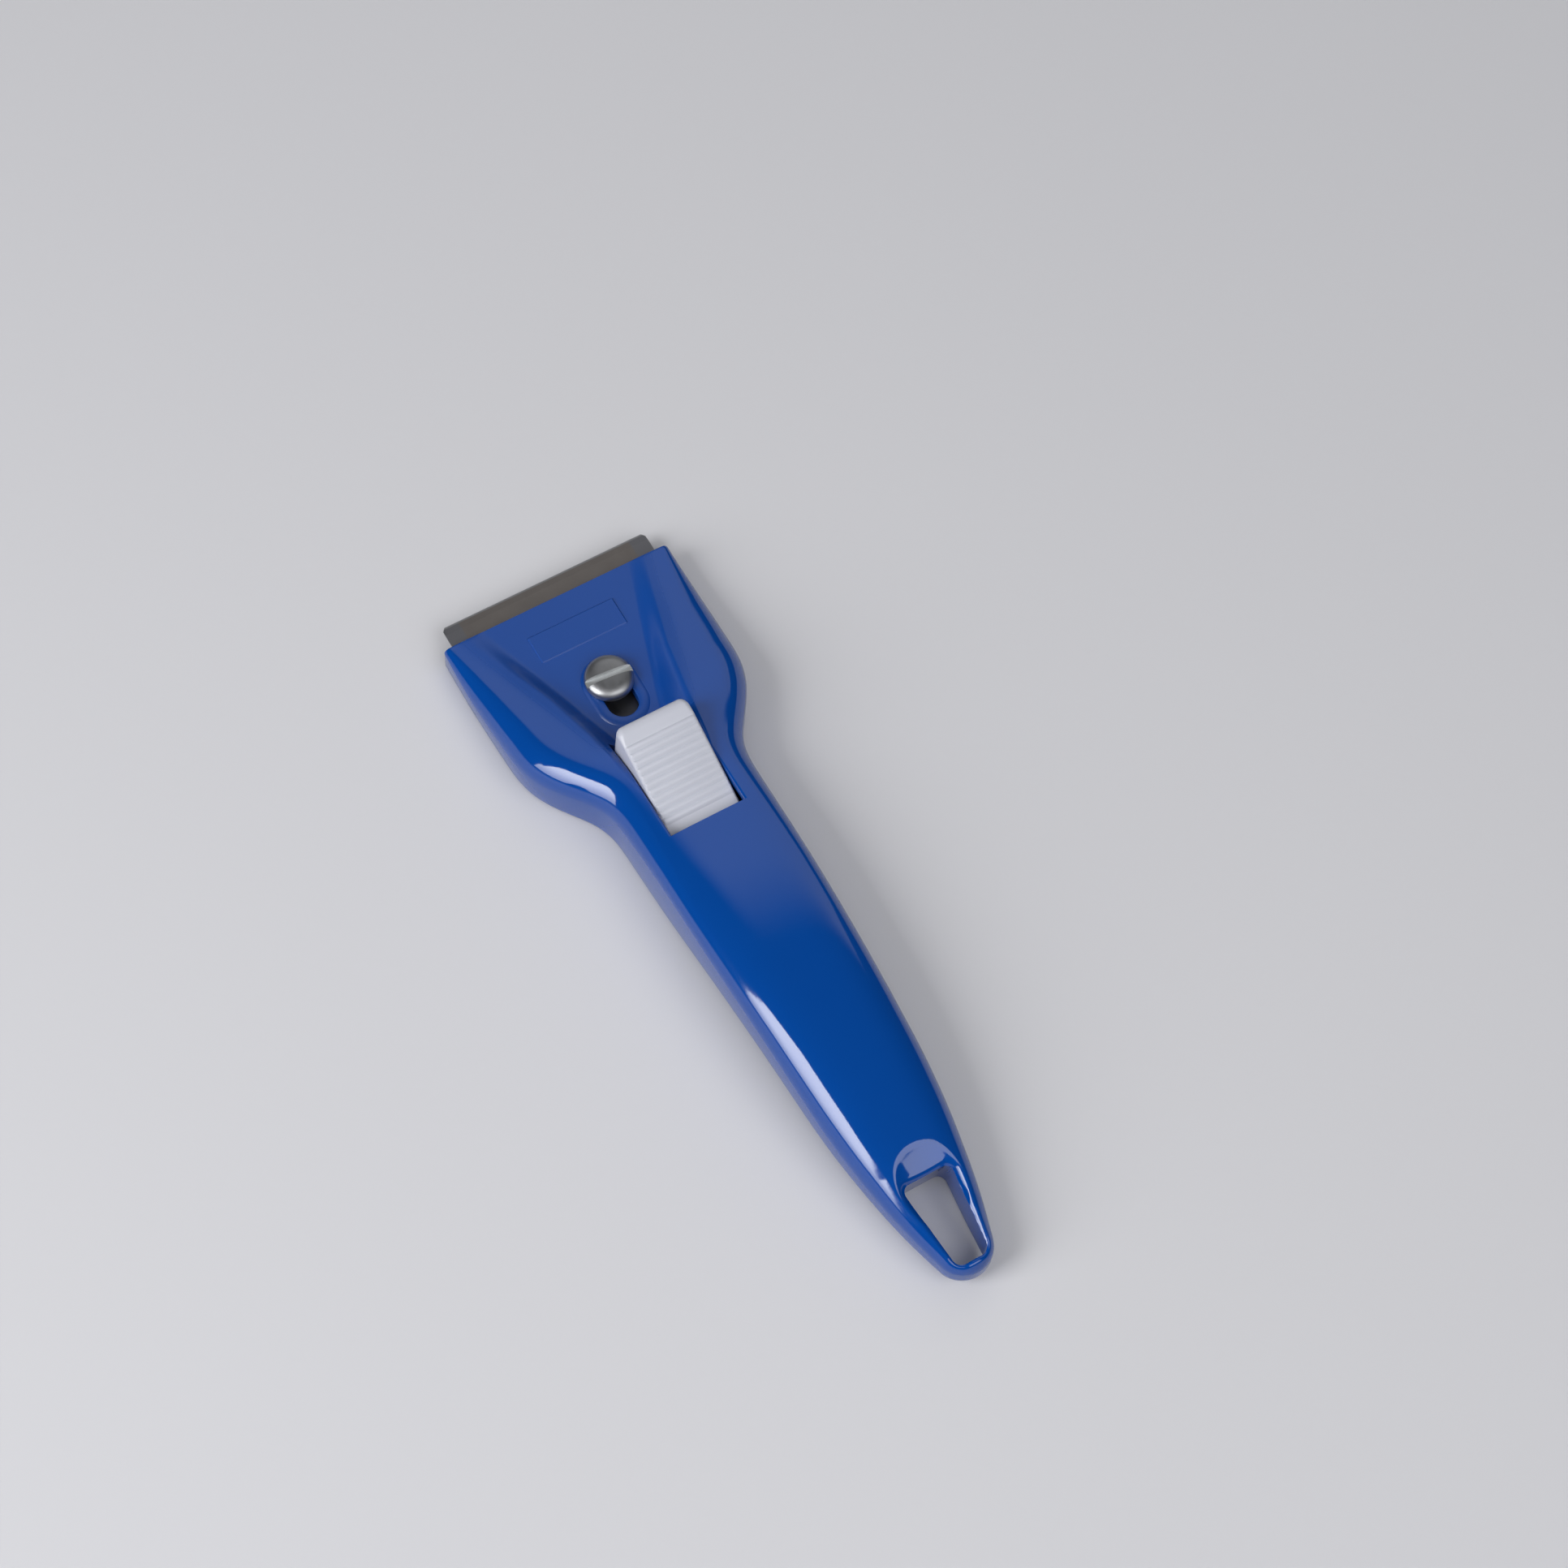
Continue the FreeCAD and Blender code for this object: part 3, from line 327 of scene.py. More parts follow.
# Hang hole: it narrows to the rear, its front wall leans and its four upright corners are round
HOLE_LEAN_BELOW, HOLE_LEAN_ABOVE, HOLE_CORNER_STEPS = 2.0, -1.5, 10
SHELL_SMOOTH = math.radians(32)
hole = block("hang_hole", (HOLE_FRONT, HOLE_REAR), HOLE_WIDE, (BELOW, ABOVE))
for vertex in hole.data.vertices:
    if vertex.co.x < (HEAD_FRONT - (HOLE_FRONT + HOLE_REAR) / 2) * MM:
        vertex.co.y *= HOLE_NARROW / HOLE_WIDE
    else:
        vertex.co.x += (HOLE_LEAN_BELOW if vertex.co.z < 0 else HOLE_LEAN_ABOVE) * MM
for face in hole.data.polygons:
    face.select = False
bpy.ops.object.mode_set(mode="EDIT")
bpy.ops.mesh.select_mode(type="EDGE")
bpy.ops.object.mode_set(mode="OBJECT")
for edge in hole.data.edges:
    low, high = (hole.data.vertices[index].co.z for index in edge.vertices)
    edge.select = abs(low - high) > ABOVE / 2 * MM
bpy.ops.object.mode_set(mode="EDIT")
bpy.ops.mesh.bevel(offset=HOLE_CORNER * MM, segments=HOLE_CORNER_STEPS, affect="EDGES")
bpy.ops.mesh.select_mode(type="VERT")
bpy.ops.object.mode_set(mode="OBJECT")
carve(shell, hole)
only(shell)
bpy.ops.object.shade_smooth_by_angle(angle=SHELL_SMOOTH)


def node(tree, kind, place, **values):
    """Put a shader node in a tree and set its properties and sockets by name."""
    made = tree.nodes.new(kind)
    made.location = place
    for name, value in values.items():
        if hasattr(made, name):
            setattr(made, name, value)
        else:
            made.inputs[name.replace("_", " ")].default_value = value
    return made


def handling_marks():
    """Shared shader group: fine rub marks and soft unevenness over a piece's surface."""
    group = bpy.data.node_groups.new("handling_marks", "ShaderNodeTree")
    for name, value in (("Mark Scale", 900.0), ("Unevenness Scale", 60.0)):
        socket = group.interface.new_socket(name, in_out="INPUT", socket_type="NodeSocketFloat")
        socket.default_value = value
    for name in ("Marks", "Unevenness"):
        group.interface.new_socket(name, in_out="OUTPUT", socket_type="NodeSocketFloat")
    inlet = node(group, "NodeGroupInput", (-900, 0))
    outlet = node(group, "NodeGroupOutput", (500, 0))
    spot = node(group, "ShaderNodeTexCoord", (-900, -260))
    turned = node(group, "ShaderNodeMapping", (-700, -260))
    turned.inputs["Rotation"].default_value = (0, 0, 0.6)
    turned.inputs["Scale"].default_value = (1, 0.06, 1)
    streak = node(group, "ShaderNodeTexNoise", (-450, 120), Detail=3.0, Roughness=0.6)
    sharp = node(group, "ShaderNodeMapRange", (-150, 120), From_Min=0.60, From_Max=0.78)
    uneven = node(group, "ShaderNodeTexNoise", (-450, -180), Detail=4.0, Roughness=0.55)
    group.links.new(spot.outputs["Object"], turned.inputs["Vector"])
    group.links.new(turned.outputs["Vector"], streak.inputs["Vector"])
    group.links.new(spot.outputs["Object"], uneven.inputs["Vector"])
    group.links.new(inlet.outputs["Mark Scale"], streak.inputs["Scale"])
    group.links.new(inlet.outputs["Unevenness Scale"], uneven.inputs["Scale"])
    group.links.new(streak.outputs["Fac"], sharp.inputs["Value"])
    group.links.new(sharp.outputs["Result"], outlet.inputs["Marks"])
    group.links.new(uneven.outputs["Fac"], outlet.inputs["Unevenness"])
    return group


marks_group = handling_marks()
RUB_DULLING = 0.05


def moulded_plastic(name, dark, light, rough, peel, mark_scale, index=1.5):
    """Injection-moulded plastic: slight colour drift, uneven gloss, rub marks and a faint orange peel."""
    material = bpy.data.materials.new(name)
    material.use_nodes = True
    tree = material.node_tree
    shader = tree.nodes["Principled BSDF"]
    shader.inputs["IOR"].default_value = index
    marks = node(tree, "ShaderNodeGroup", (-900, 0), node_tree=marks_group)
    marks.inputs["Mark Scale"].default_value = mark_scale
    marks.inputs["Unevenness Scale"].default_value = 45.0
    tint = node(tree, "ShaderNodeMix", (-600, 200), data_type="RGBA")
    tint.inputs["A"].default_value = (*dark, 1)
    tint.inputs["B"].default_value = (*light, 1)
    gloss = node(tree, "ShaderNodeMapRange", (-600, -60), To_Min=rough[0], To_Max=rough[1])
    rubbed = node(tree, "ShaderNodeMath", (-380, -60), operation="MULTIPLY_ADD")
    rubbed.inputs[1].default_value = RUB_DULLING
    spot = node(tree, "ShaderNodeTexCoord", (-1100, -360))
    skin_noise = node(tree, "ShaderNodeTexNoise", (-900, -360), Scale=1500.0, Detail=2.0)
    bump = node(tree, "ShaderNodeBump", (-380, -360), Strength=peel, Distance=0.05 * MM)
    tree.links.new(marks.outputs["Unevenness"], tint.inputs["Factor"])
    tree.links.new(tint.outputs["Result"], shader.inputs["Base Color"])
    tree.links.new(marks.outputs["Unevenness"], gloss.inputs["Value"])
    tree.links.new(marks.outputs["Marks"], rubbed.inputs[0])
    tree.links.new(gloss.outputs["Result"], rubbed.inputs[2])
    tree.links.new(rubbed.outputs["Value"], shader.inputs["Roughness"])
    tree.links.new(spot.outputs["Object"], skin_noise.inputs["Vector"])
    tree.links.new(skin_noise.outputs["Fac"], bump.inputs["Height"])
    tree.links.new(bump.outputs["Normal"], shader.inputs["Normal"])
    return material


def dress(piece, *materials):
    """Give a piece these materials alone."""
    piece.data.materials.clear()
    for material in materials:
        piece.data.materials.append(material)


gloss_blue = moulded_plastic("gloss_blue_plastic", dark=(0.0, 0.056, 0.305), light=(0.0, 0.062, 0.33),
                             rough=(0.05, 0.09), peel=0.04, mark_scale=700.0, index=1.7)

# The recess and its ridges are satin, as from a finely blasted part of the mould, between two slanting
# lines that lie beyond the ridges, and the gloss comes back beside the window
SATIN_SLOPE, SATIN_START = 0.279, -1.3             # half width of the satin part per mm, and at the origin
SATIN_FADE, SATIN_REAR, SATIN_FULL, SATIN_DULLING = 3.0, 39, 33, 0.27
tree = gloss_blue.node_tree
shader = tree.nodes["Principled BSDF"]
glossy = shader.inputs["Roughness"].links[0].from_socket
spot = node(tree, "ShaderNodeTexCoord", (-1500, -700))
axes = node(tree, "ShaderNodeSeparateXYZ", (-1300, -700))
sideways = node(tree, "ShaderNodeMath", (-1100, -600), operation="ABSOLUTE")
ridge_line = node(tree, "ShaderNodeMath", (-1100, -760), operation="MULTIPLY_ADD")
ridge_line.inputs[1].default_value = SATIN_SLOPE
ridge_line.inputs[2].default_value = SATIN_START * MM
beyond = node(tree, "ShaderNodeMath", (-900, -680), operation="SUBTRACT")
within = node(tree, "ShaderNodeMapRange", (-700, -680), interpolation_type="SMOOTHSTEP",
              From_Min=SATIN_FADE * MM, From_Max=0.0)
ahead = node(tree, "ShaderNodeMapRange", (-700, -900), interpolation_type="SMOOTHSTEP",
             From_Min=(HEAD_FRONT - SATIN_REAR) * MM, From_Max=(HEAD_FRONT - SATIN_FULL) * MM)
blasted = node(tree, "ShaderNodeMath", (-450, -760), operation="MULTIPLY")
satin = node(tree, "ShaderNodeMath", (-200, -600), operation="MULTIPLY_ADD")
satin.inputs[1].default_value = SATIN_DULLING
tree.links.new(spot.outputs["Object"], axes.inputs["Vector"])
tree.links.new(axes.outputs["Y"], sideways.inputs[0])
tree.links.new(axes.outputs["X"], ridge_line.inputs[0])
tree.links.new(sideways.outputs["Value"], beyond.inputs[0])
tree.links.new(ridge_line.outputs["Value"], beyond.inputs[1])
tree.links.new(beyond.outputs["Value"], within.inputs["Value"])
tree.links.new(axes.outputs["X"], ahead.inputs["Value"])
tree.links.new(within.outputs["Result"], blasted.inputs[0])
tree.links.new(ahead.outputs["Result"], blasted.inputs[1])
tree.links.new(blasted.outputs["Value"], satin.inputs[0])
tree.links.new(glossy, satin.inputs[2])
tree.links.new(satin.outputs["Value"], shader.inputs["Roughness"])
dress(shell, gloss_blue)
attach(shell, "handle")
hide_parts("handle_shell")


# Base cover and its screws
# A satin moulded plate let into the underside, with the nut's slot at the head. Two small zinc-plated
# countersunk screws hold it to the bosses inside the handle.

dress(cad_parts["base_cover"],
      moulded_plastic("satin_blue_plastic", dark=(0.0, 0.040, 0.22), light=(0.0, 0.050, 0.26),
                      rough=(0.32, 0.42), peel=0.25, mark_scale=500.0))


def plated_steel(name, dark, light, rough, grain_scale, stretch):
    """Steel with a drawn grain and an uneven tone."""
    material = bpy.data.materials.new(name)
    material.use_nodes = True
    tree = material.node_tree
    shader = tree.nodes["Principled BSDF"]
    shader.inputs["Metallic"].default_value = 1.0
    marks = node(tree, "ShaderNodeGroup", (-900, 200), node_tree=marks_group)
    marks.inputs["Mark Scale"].default_value = 1400.0
    marks.inputs["Unevenness Scale"].default_value = 220.0
    spot = node(tree, "ShaderNodeTexCoord", (-1300, -200))
    drawn = node(tree, "ShaderNodeMapping", (-1100, -200))
    drawn.inputs["Scale"].default_value = stretch
    grain = node(tree, "ShaderNodeTexNoise", (-900, -200), Scale=grain_scale, Detail=3.0)
    tint = node(tree, "ShaderNodeMix", (-500, 200), data_type="RGBA")
    tint.inputs["A"].default_value = (*dark, 1)
    tint.inputs["B"].default_value = (*light, 1)
    gloss = node(tree, "ShaderNodeMapRange", (-500, -60), To_Min=rough[0], To_Max=rough[1])
    bump = node(tree, "ShaderNodeBump", (-380, -360), Strength=0.12, Distance=0.05 * MM)
    tree.links.new(spot.outputs["Object"], drawn.inputs["Vector"])
    tree.links.new(drawn.outputs["Vector"], grain.inputs["Vector"])
    tree.links.new(marks.outputs["Unevenness"], tint.inputs["Factor"])
    tree.links.new(tint.outputs["Result"], shader.inputs["Base Color"])
    tree.links.new(grain.outputs["Fac"], gloss.inputs["Value"])
    tree.links.new(gloss.outputs["Result"], shader.inputs["Roughness"])
    tree.links.new(grain.outputs["Fac"], bump.inputs["Height"])
    tree.links.new(bump.outputs["Normal"], shader.inputs["Normal"])
    return material


zinc = plated_steel("zinc_plated_steel", dark=(0.36, 0.37, 0.38), light=(0.52, 0.53, 0.54),
                    rough=(0.22, 0.40), grain_scale=1800.0, stretch=(1, 0.3, 1))
dress(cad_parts["cover_screws"], zinc)


# Blade carrier and blade rivets
# A dark pressed-steel plate that slides in the head, staked to the thumb button's legs. Two short
# zinc-plated pins on it locate the blade.

dress(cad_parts["blade_carrier"],
      plated_steel("dark_pressed_steel", dark=(0.12, 0.12, 0.13), light=(0.19, 0.19, 0.20),
                   rough=(0.35, 0.5), grain_scale=900.0, stretch=(0.2, 1, 1)))
dress(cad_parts["blade_rivets"], zinc)


# Scraper blade
# A thin hardened steel blade, oiled grey-brown, ground to an edge along both long sides. It drops over
# the carrier's two pins, with one edge out in front of the head.

BLADE_FRONT, BLADE_REAR, GRIND = -5.0, 17.0, 1.6
BLADE_UNDER, EDGE_UNDER, EDGE_TOP, BLADE_TOP = 4.0, 4.16, 4.24, 4.4
BLADE_HALF, END_CLIP, END_TRIM = 21.5, 20.9, 0.7   # the ends' corners are clipped from END_CLIP outwards
BORE_PLACE, BORE_SIDE, BORE_RADIUS, BORE_LEVELS = 6.0, 11, 1.65, (3, 5)
BLADE_SMOOTH = math.radians(2)


def blade_ring(side, trim):
    """The blade's section at one place across the tool, with its cutting edges trimmed back."""
    front, rear = BLADE_FRONT + trim, BLADE_REAR - trim
    front_grind, rear_grind = BLADE_FRONT + GRIND, BLADE_REAR - GRIND
    section = [(front, EDGE_UNDER), (front, EDGE_TOP), (front_grind, BLADE_TOP), (rear_grind, BLADE_TOP),
               (rear, EDGE_TOP), (rear, EDGE_UNDER), (rear_grind, BLADE_UNDER), (front_grind, BLADE_UNDER)]
    return [(HEAD_FRONT - place, side, height) for place, height in section]


blade_ends = [(-BLADE_HALF, END_TRIM), (-END_CLIP, 0.0), (END_CLIP, 0.0), (BLADE_HALF, END_TRIM)]
blade = loft("ground_blade", np.array([blade_ring(side, trim) for side, trim in blade_ends]))
for side in (-BORE_SIDE, BORE_SIDE):
    carve(blade, rod("blade_bore", BORE_PLACE, side, BORE_RADIUS, BORE_LEVELS))
only(blade)
bpy.ops.object.shade_smooth_by_angle(angle=BLADE_SMOOTH)

# Bare strips at the blade's ends, and the bright ground edge in front
STRIP_COLOUR, STRIP_FROM, STRIP_FULL = (0.32, 0.32, 0.345, 1), 17.9, 18.3
BRIGHT_COLOUR, BRIGHT_FROM, BRIGHT_FULL = (0.50, 0.50, 0.52, 1), 4.55, 4.75
oiled = plated_steel("oiled_blade_steel", dark=(0.31, 0.282, 0.266), light=(0.39, 0.357, 0.338),
                     rough=(0.46, 0.58), grain_scale=700.0, stretch=(1, 0.08, 1))
tree = oiled.node_tree
shader = tree.nodes["Principled BSDF"]
oiled_tint = shader.inputs["Base Color"].links[0].from_socket
spot = node(tree, "ShaderNodeTexCoord", (-1300, 700))
axes = node(tree, "ShaderNodeSeparateXYZ", (-1100, 700))
sideways = node(tree, "ShaderNodeMath", (-900, 800), operation="ABSOLUTE")
at_ends = node(tree, "ShaderNodeMapRange", (-700, 800), From_Min=STRIP_FROM * MM, From_Max=STRIP_FULL * MM)
strips = node(tree, "ShaderNodeMix", (-300, 600), data_type="RGBA")
strips.inputs["B"].default_value = STRIP_COLOUR
at_edge = node(tree, "ShaderNodeMapRange", (-700, 500),
               From_Min=(HEAD_FRONT + BRIGHT_FROM) * MM, From_Max=(HEAD_FRONT + BRIGHT_FULL) * MM)
bright = node(tree, "ShaderNodeMix", (-100, 600), data_type="RGBA")
bright.inputs["B"].default_value = BRIGHT_COLOUR
tree.links.new(spot.outputs["Object"], axes.inputs["Vector"])
tree.links.new(axes.outputs["Y"], sideways.inputs[0])
tree.links.new(sideways.outputs["Value"], at_ends.inputs["Value"])
tree.links.new(axes.outputs["X"], at_edge.inputs["Value"])
tree.links.new(at_ends.outputs["Result"], strips.inputs["Factor"])
tree.links.new(oiled_tint, strips.inputs["A"])
tree.links.new(at_edge.outputs["Result"], bright.inputs["Factor"])
tree.links.new(strips.outputs["Result"], bright.inputs["A"])
tree.links.new(bright.outputs["Result"], shader.inputs["Base Color"])
dress(blade, oiled)
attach(blade, "slide")
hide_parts("scraper_blade")


# Thumb slide
# A white moulded button that stands in the window, with a smooth front lip, eleven cross ridges and a
# plain rear. Its foot runs under the skin, and two legs are staked through the carrier.

BUTTON_HALF, BUTTON_REAR, BUTTON_FOOT, FOOT_FRONT = 7.25, 62.0, 4.0, 35.0
BUTTON_FALL, BUTTON_SMOOTH = math.radians(21), math.radians(38)
LIP_PLACE, LIP_LEVEL, LIP_ROUND, LIP_STEPS = 35.4, 20.3, 1.7, 14
FRONT_RUN, FRONT_CLIMB, FRONT_LENGTH, FRONT_STEPS = 1.4, 15.9, 13.8, 12
RIDGE_FIRST, RIDGE_PITCH, RIDGE_COUNT = 4.45, 1.44, 11
RIDGE_RISE, RIDGE_LEAD = 0.30, 0.12                # height, and how far ahead the row is in pitches
RIDGE_SHAPE = ([0, 0.07, 0.15, 0.25, 0.37, 0.55, 0.8, 1], [0, 0.3, 0.65, 0.93, 1, 0.88, 0.42, 0])
RIDGED_FROM, RIDGED_TO, RIDGED_STEP, TOP_LENGTH = 2.6, 20.6, 0.06, 28.45
BUTTON_EDGE = ([34, 36.2, 39.0, 58, 62], [1.6, 1.5, 0.6, 0.5, 0.3])
LOW_EDGE, LOW_LEVEL = 0.3, 6.0                     # the edge rounding below that level
POINT_GAP, LEAD_STEPS, PLAIN_STEPS, REAR_STEPS, FOOT_STEPS = 0.1, 4, 14, 6, 12

# Side outline, as places and levels: up the front, round the lip, down the top, and back along the foot
lip_corner = np.array([LIP_PLACE, LIP_LEVEL - RIDGE_RISE])
front_way = np.array([FRONT_RUN, FRONT_CLIMB]) / math.hypot(FRONT_RUN, FRONT_CLIMB)
top_way = np.array([math.cos(BUTTON_FALL), -math.sin(BUTTON_FALL)])
setback = LIP_ROUND / math.tan(math.acos(float(np.dot(-front_way, top_way))) / 2)
lip_first, lip_last = lip_corner - front_way * setback, lip_corner + top_way * setback
lip_centre = lip_corner - front_way * setback + np.array([front_way[1], -front_way[0]]) * LIP_ROUND
lip_start, lip_stop = (math.atan2(*(end - lip_centre)[::-1]) for end in (lip_first, lip_last))
profile = [lip_first - front_way * step for step in np.linspace(FRONT_LENGTH, POINT_GAP, FRONT_STEPS)]
for turn in np.linspace(lip_start, lip_stop, LIP_STEPS):
    profile.append(lip_centre + LIP_ROUND * np.array([math.cos(turn), math.sin(turn)]))
top_first = len(profile)
top_far = np.concatenate([np.linspace(setback + POINT_GAP, RIDGED_FROM - POINT_GAP, LEAD_STEPS),
                          np.arange(RIDGED_FROM, RIDGED_TO, RIDGED_STEP),
                          np.linspace(RIDGED_TO + 2 * POINT_GAP, TOP_LENGTH, PLAIN_STEPS)])
profile += [lip_corner + top_way * far for far in top_far]
rear_top = profile[-1][1] - 4 * POINT_GAP
profile += [np.array([BUTTON_REAR, height]) for height in np.linspace(rear_top, BUTTON_FOOT, REAR_STEPS)]
profile += [np.array([place, BUTTON_FOOT]) for place in np.linspace(BUTTON_REAR - 1, FOOT_FRONT, FOOT_STEPS)]
profile = np.array(profile)

# Saw-tooth ridges along the top
phase = (top_far - RIDGE_FIRST) / RIDGE_PITCH + RIDGE_LEAD
ridge = np.where((phase > 0) & (phase < RIDGE_COUNT), np.interp(phase % 1, *RIDGE_SHAPE), 0)
rise = np.zeros(len(profile))
rise[top_first:top_first + top_far.size] = RIDGE_RISE * ridge

# Slices from side to side, with the outline drawn in round both side edges, where the ridges die out
EDGE_TURNS, RIDGE_FADE = 9, 1.6
way = np.roll(profile, -1, axis=0) - np.roll(profile, 1, axis=0)
way /= np.linalg.norm(way, axis=1)[:, None]
inward = np.stack([way[:, 1], -way[:, 0]], axis=1)
edge_round = np.interp(profile[:, 0], *BUTTON_EDGE)
edge_round = np.where(profile[:, 1] < LOW_LEVEL, LOW_EDGE, edge_round)
slices = []
for side, turns in ((-1, np.linspace(90, 0, EDGE_TURNS)), (1, np.linspace(0, 90, EDGE_TURNS))):
    for turn in np.radians(turns):
        sink = edge_round * (1 - np.cos(turn)) - rise * max(0.0, math.cos(RIDGE_FADE * turn))
        shape = profile + inward * sink[:, None]
        slice_side = side * (BUTTON_HALF - edge_round * (1 - np.sin(turn)))
        slices.append(np.stack([HEAD_FRONT - shape[:, 0], slice_side, shape[:, 1]], axis=1))
button = loft("ribbed_button", np.array(slices))

# Foot under the skin, and the two legs with their stakes
FOOT_PLACES, FOOT_HALF, FOOT_LEVELS, FOOT_BEVEL = (36.6, BUTTON_REAR), 8.1, (BUTTON_FOOT, 5.4), 0.2
LEG_PLACES, LEG_DEPTH, LEG_HALF, LEG_LEVELS = (44.08, 53.6), 1.1, 2.2, (2.6, 6.0)
STAKE_DEPTH, STAKE_HALF, STAKE_LEVELS, STAKE_BEVEL = 1.4, 2.5, (2.3, 3.0), 0.15
carve(button, block("foot", FOOT_PLACES, FOOT_HALF, FOOT_LEVELS, FOOT_BEVEL), "UNION")
for leg_place in LEG_PLACES:
    leg = block("leg", (leg_place - LEG_DEPTH, leg_place + LEG_DEPTH), LEG_HALF, LEG_LEVELS)
    carve(button, leg, "UNION")
    stake_places = (leg_place - STAKE_DEPTH, leg_place + STAKE_DEPTH)
    carve(button, block("stake", stake_places, STAKE_HALF, STAKE_LEVELS, STAKE_BEVEL), "UNION")
only(button)
bpy.ops.object.shade_smooth_by_angle(angle=BUTTON_SMOOTH)
dress(button, moulded_plastic("satin_white_plastic", dark=(0.55, 0.565, 0.645), light=(0.60, 0.615, 0.69),
                              rough=(0.26, 0.36), peel=0.12, mark_scale=600.0))
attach(button, "slide")
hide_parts("thumb_slide")


# Clamp screw and nut
# A zinc-plated slotted pan-head machine screw that stands on the slot's rim, with a plain square nut
# below the carrier. Turning it clamps the blade at the stroke where it is wanted.

SCREW_PLACE = HEAD_FRONT - SLOT_PLACE
HEAD_PROFILE = [(2.5, 6.8), (4.45, 6.8), (4.62, 6.92), (4.65, 7.1), (4.65, 7.65), (4.58, 7.95), (4.4, 8.25),
                (4.1, 8.52), (3.6, 8.78), (3.0, 8.94), (2.2, 9.05), (1.2, 9.09), (0.02, 9.1)]
THREAD_CREST, THREAD_ROOT, THREAD_POINT = 2.48, 2.2, 1.9
THREAD_FROM, THREAD_TO, RING_STEP, PITCH_RINGS = 0.5, 6.7, 0.2, 4
CIRCLE_STEP, SCREW_SMOOTH = 3.75, math.radians(35)
DRIVER_HALF, DRIVER_LONG, DRIVER_LEVELS, DRIVER_TURN = 0.7, 6.0, (7.9, 10.0), math.radians(5.4)
thread_level = np.arange(THREAD_FROM, THREAD_TO, RING_STEP)
on_crest = np.arange(thread_level.size) % PITCH_RINGS < PITCH_RINGS / 2
thread_radius = np.where(on_crest, THREAD_CREST, THREAD_ROOT)
thread_radius[:2] = THREAD_POINT, THREAD_ROOT
circle = np.radians(np.arange(0, 360, CIRCLE_STEP))
screw_rings = [np.stack([SCREW_PLACE + radius * np.cos(circle), radius * np.sin(circle),
                         np.full(circle.size, height)], axis=1)
               for radius, height in list(zip(thread_radius, thread_level)) + HEAD_PROFILE]
screw = loft("pan_head_screw", np.array(screw_rings))
driver_places = (SLOT_PLACE - DRIVER_HALF, SLOT_PLACE + DRIVER_HALF)
driver = block("driver_slot", driver_places, DRIVER_LONG, DRIVER_LEVELS)
only(driver)
bpy.ops.object.mode_set(mode="EDIT")
bpy.ops.mesh.select_all(action="SELECT")
bpy.ops.transform.rotate(value=DRIVER_TURN, orient_axis="Z", center_override=(SCREW_PLACE * MM, 0, 0))
bpy.ops.object.mode_set(mode="OBJECT")
carve(screw, driver)
only(screw)
bpy.ops.object.shade_smooth_by_angle(angle=SCREW_SMOOTH)

# The driver slot's floor is painted brighter, a painted highlight for the light caught in the slot, and the
# rest is rolled and plated
dress(screw,
      plated_steel("rolled_zinc_steel", dark=(0.36, 0.365, 0.38), light=(0.58, 0.59, 0.61),
                   rough=(0.32, 0.5), grain_scale=2600.0, stretch=(0.3, 1, 1)),
      plated_steel("slot_floor_painted_highlight_steel", dark=(0.68, 0.70, 0.70), light=(0.80, 0.82, 0.82),
                   rough=(0.22, 0.38), grain_scale=2600.0, stretch=(1, 0.05, 1)))
# Faces on the slot's floor take the brighter steel, which is a painted highlight
for face in screw.data.polygons:
    middle = face.center / MM
    off_line = abs(middle.x - SCREW_PLACE + math.tan(DRIVER_TURN) * middle.y)
    off_floor = abs(middle.z - DRIVER_LEVELS[0])
    face.material_index = int(off_line < DRIVER_HALF + 0.02 and off_floor < 0.05 and face.normal.z > 0.99)
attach(screw, "screw")
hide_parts("clamp_screw")
dress(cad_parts["clamp_nut"], zinc)


# Floor, light and camera
# A plain pale table in a dim room with a low pale wall. A wide box with soft edges hangs in front, a key
# box on the left, one behind and a fill overhead. The camera looks from above the tail's left side.

PALE = (0.58, 0.58, 0.61, 1)
FLOOR_SIZE, FLOOR_GAP, FLOOR_NEAR, FLOOR_FAR = 40, 0.1 * MM, 0.4, 1.3
bpy.ops.object.select_all(action="DESELECT")
bpy.ops.mesh.primitive_plane_add(size=FLOOR_SIZE, location=(0, 0, -FLOOR_GAP))
floor = bpy.context.object
floor.name = "floor"
paper = bpy.data.materials.new("pale_paper")
paper.use_nodes = True
tree = paper.node_tree
shader = tree.nodes["Principled BSDF"]
shader.inputs["Base Color"].default_value = (0.66, 0.66, 0.69, 1)
shader.inputs["Roughness"].default_value = 0.8
spot = node(tree, "ShaderNodeTexCoord", (-900, -300))
away = node(tree, "ShaderNodeVectorMath", (-700, -300), operation="LENGTH")
far_off = node(tree, "ShaderNodeMapRange", (-500, -300), interpolation_type="SMOOTHSTEP",
               From_Min=FLOOR_NEAR, From_Max=FLOOR_FAR)
ray = node(tree, "ShaderNodeLightPath", (-900, 300))
seen = node(tree, "ShaderNodeMath", (-700, 300), operation="MAXIMUM")
shown = node(tree, "ShaderNodeMath", (-500, 300), operation="MAXIMUM")
distant = node(tree, "ShaderNodeMath", (-300, 100), operation="MULTIPLY")
backdrop = node(tree, "ShaderNodeEmission", (-100, -200), Color=PALE, Strength=1.0)
table = node(tree, "ShaderNodeMixShader", (150, 200))
tree.links.new(spot.outputs["Object"], away.inputs[0])
tree.links.new(away.outputs["Value"], far_off.inputs["Value"])
tree.links.new(ray.outputs["Is Camera Ray"], seen.inputs[0])
tree.links.new(ray.outputs["Is Glossy Ray"], seen.inputs[1])
tree.links.new(seen.outputs["Value"], shown.inputs[0])
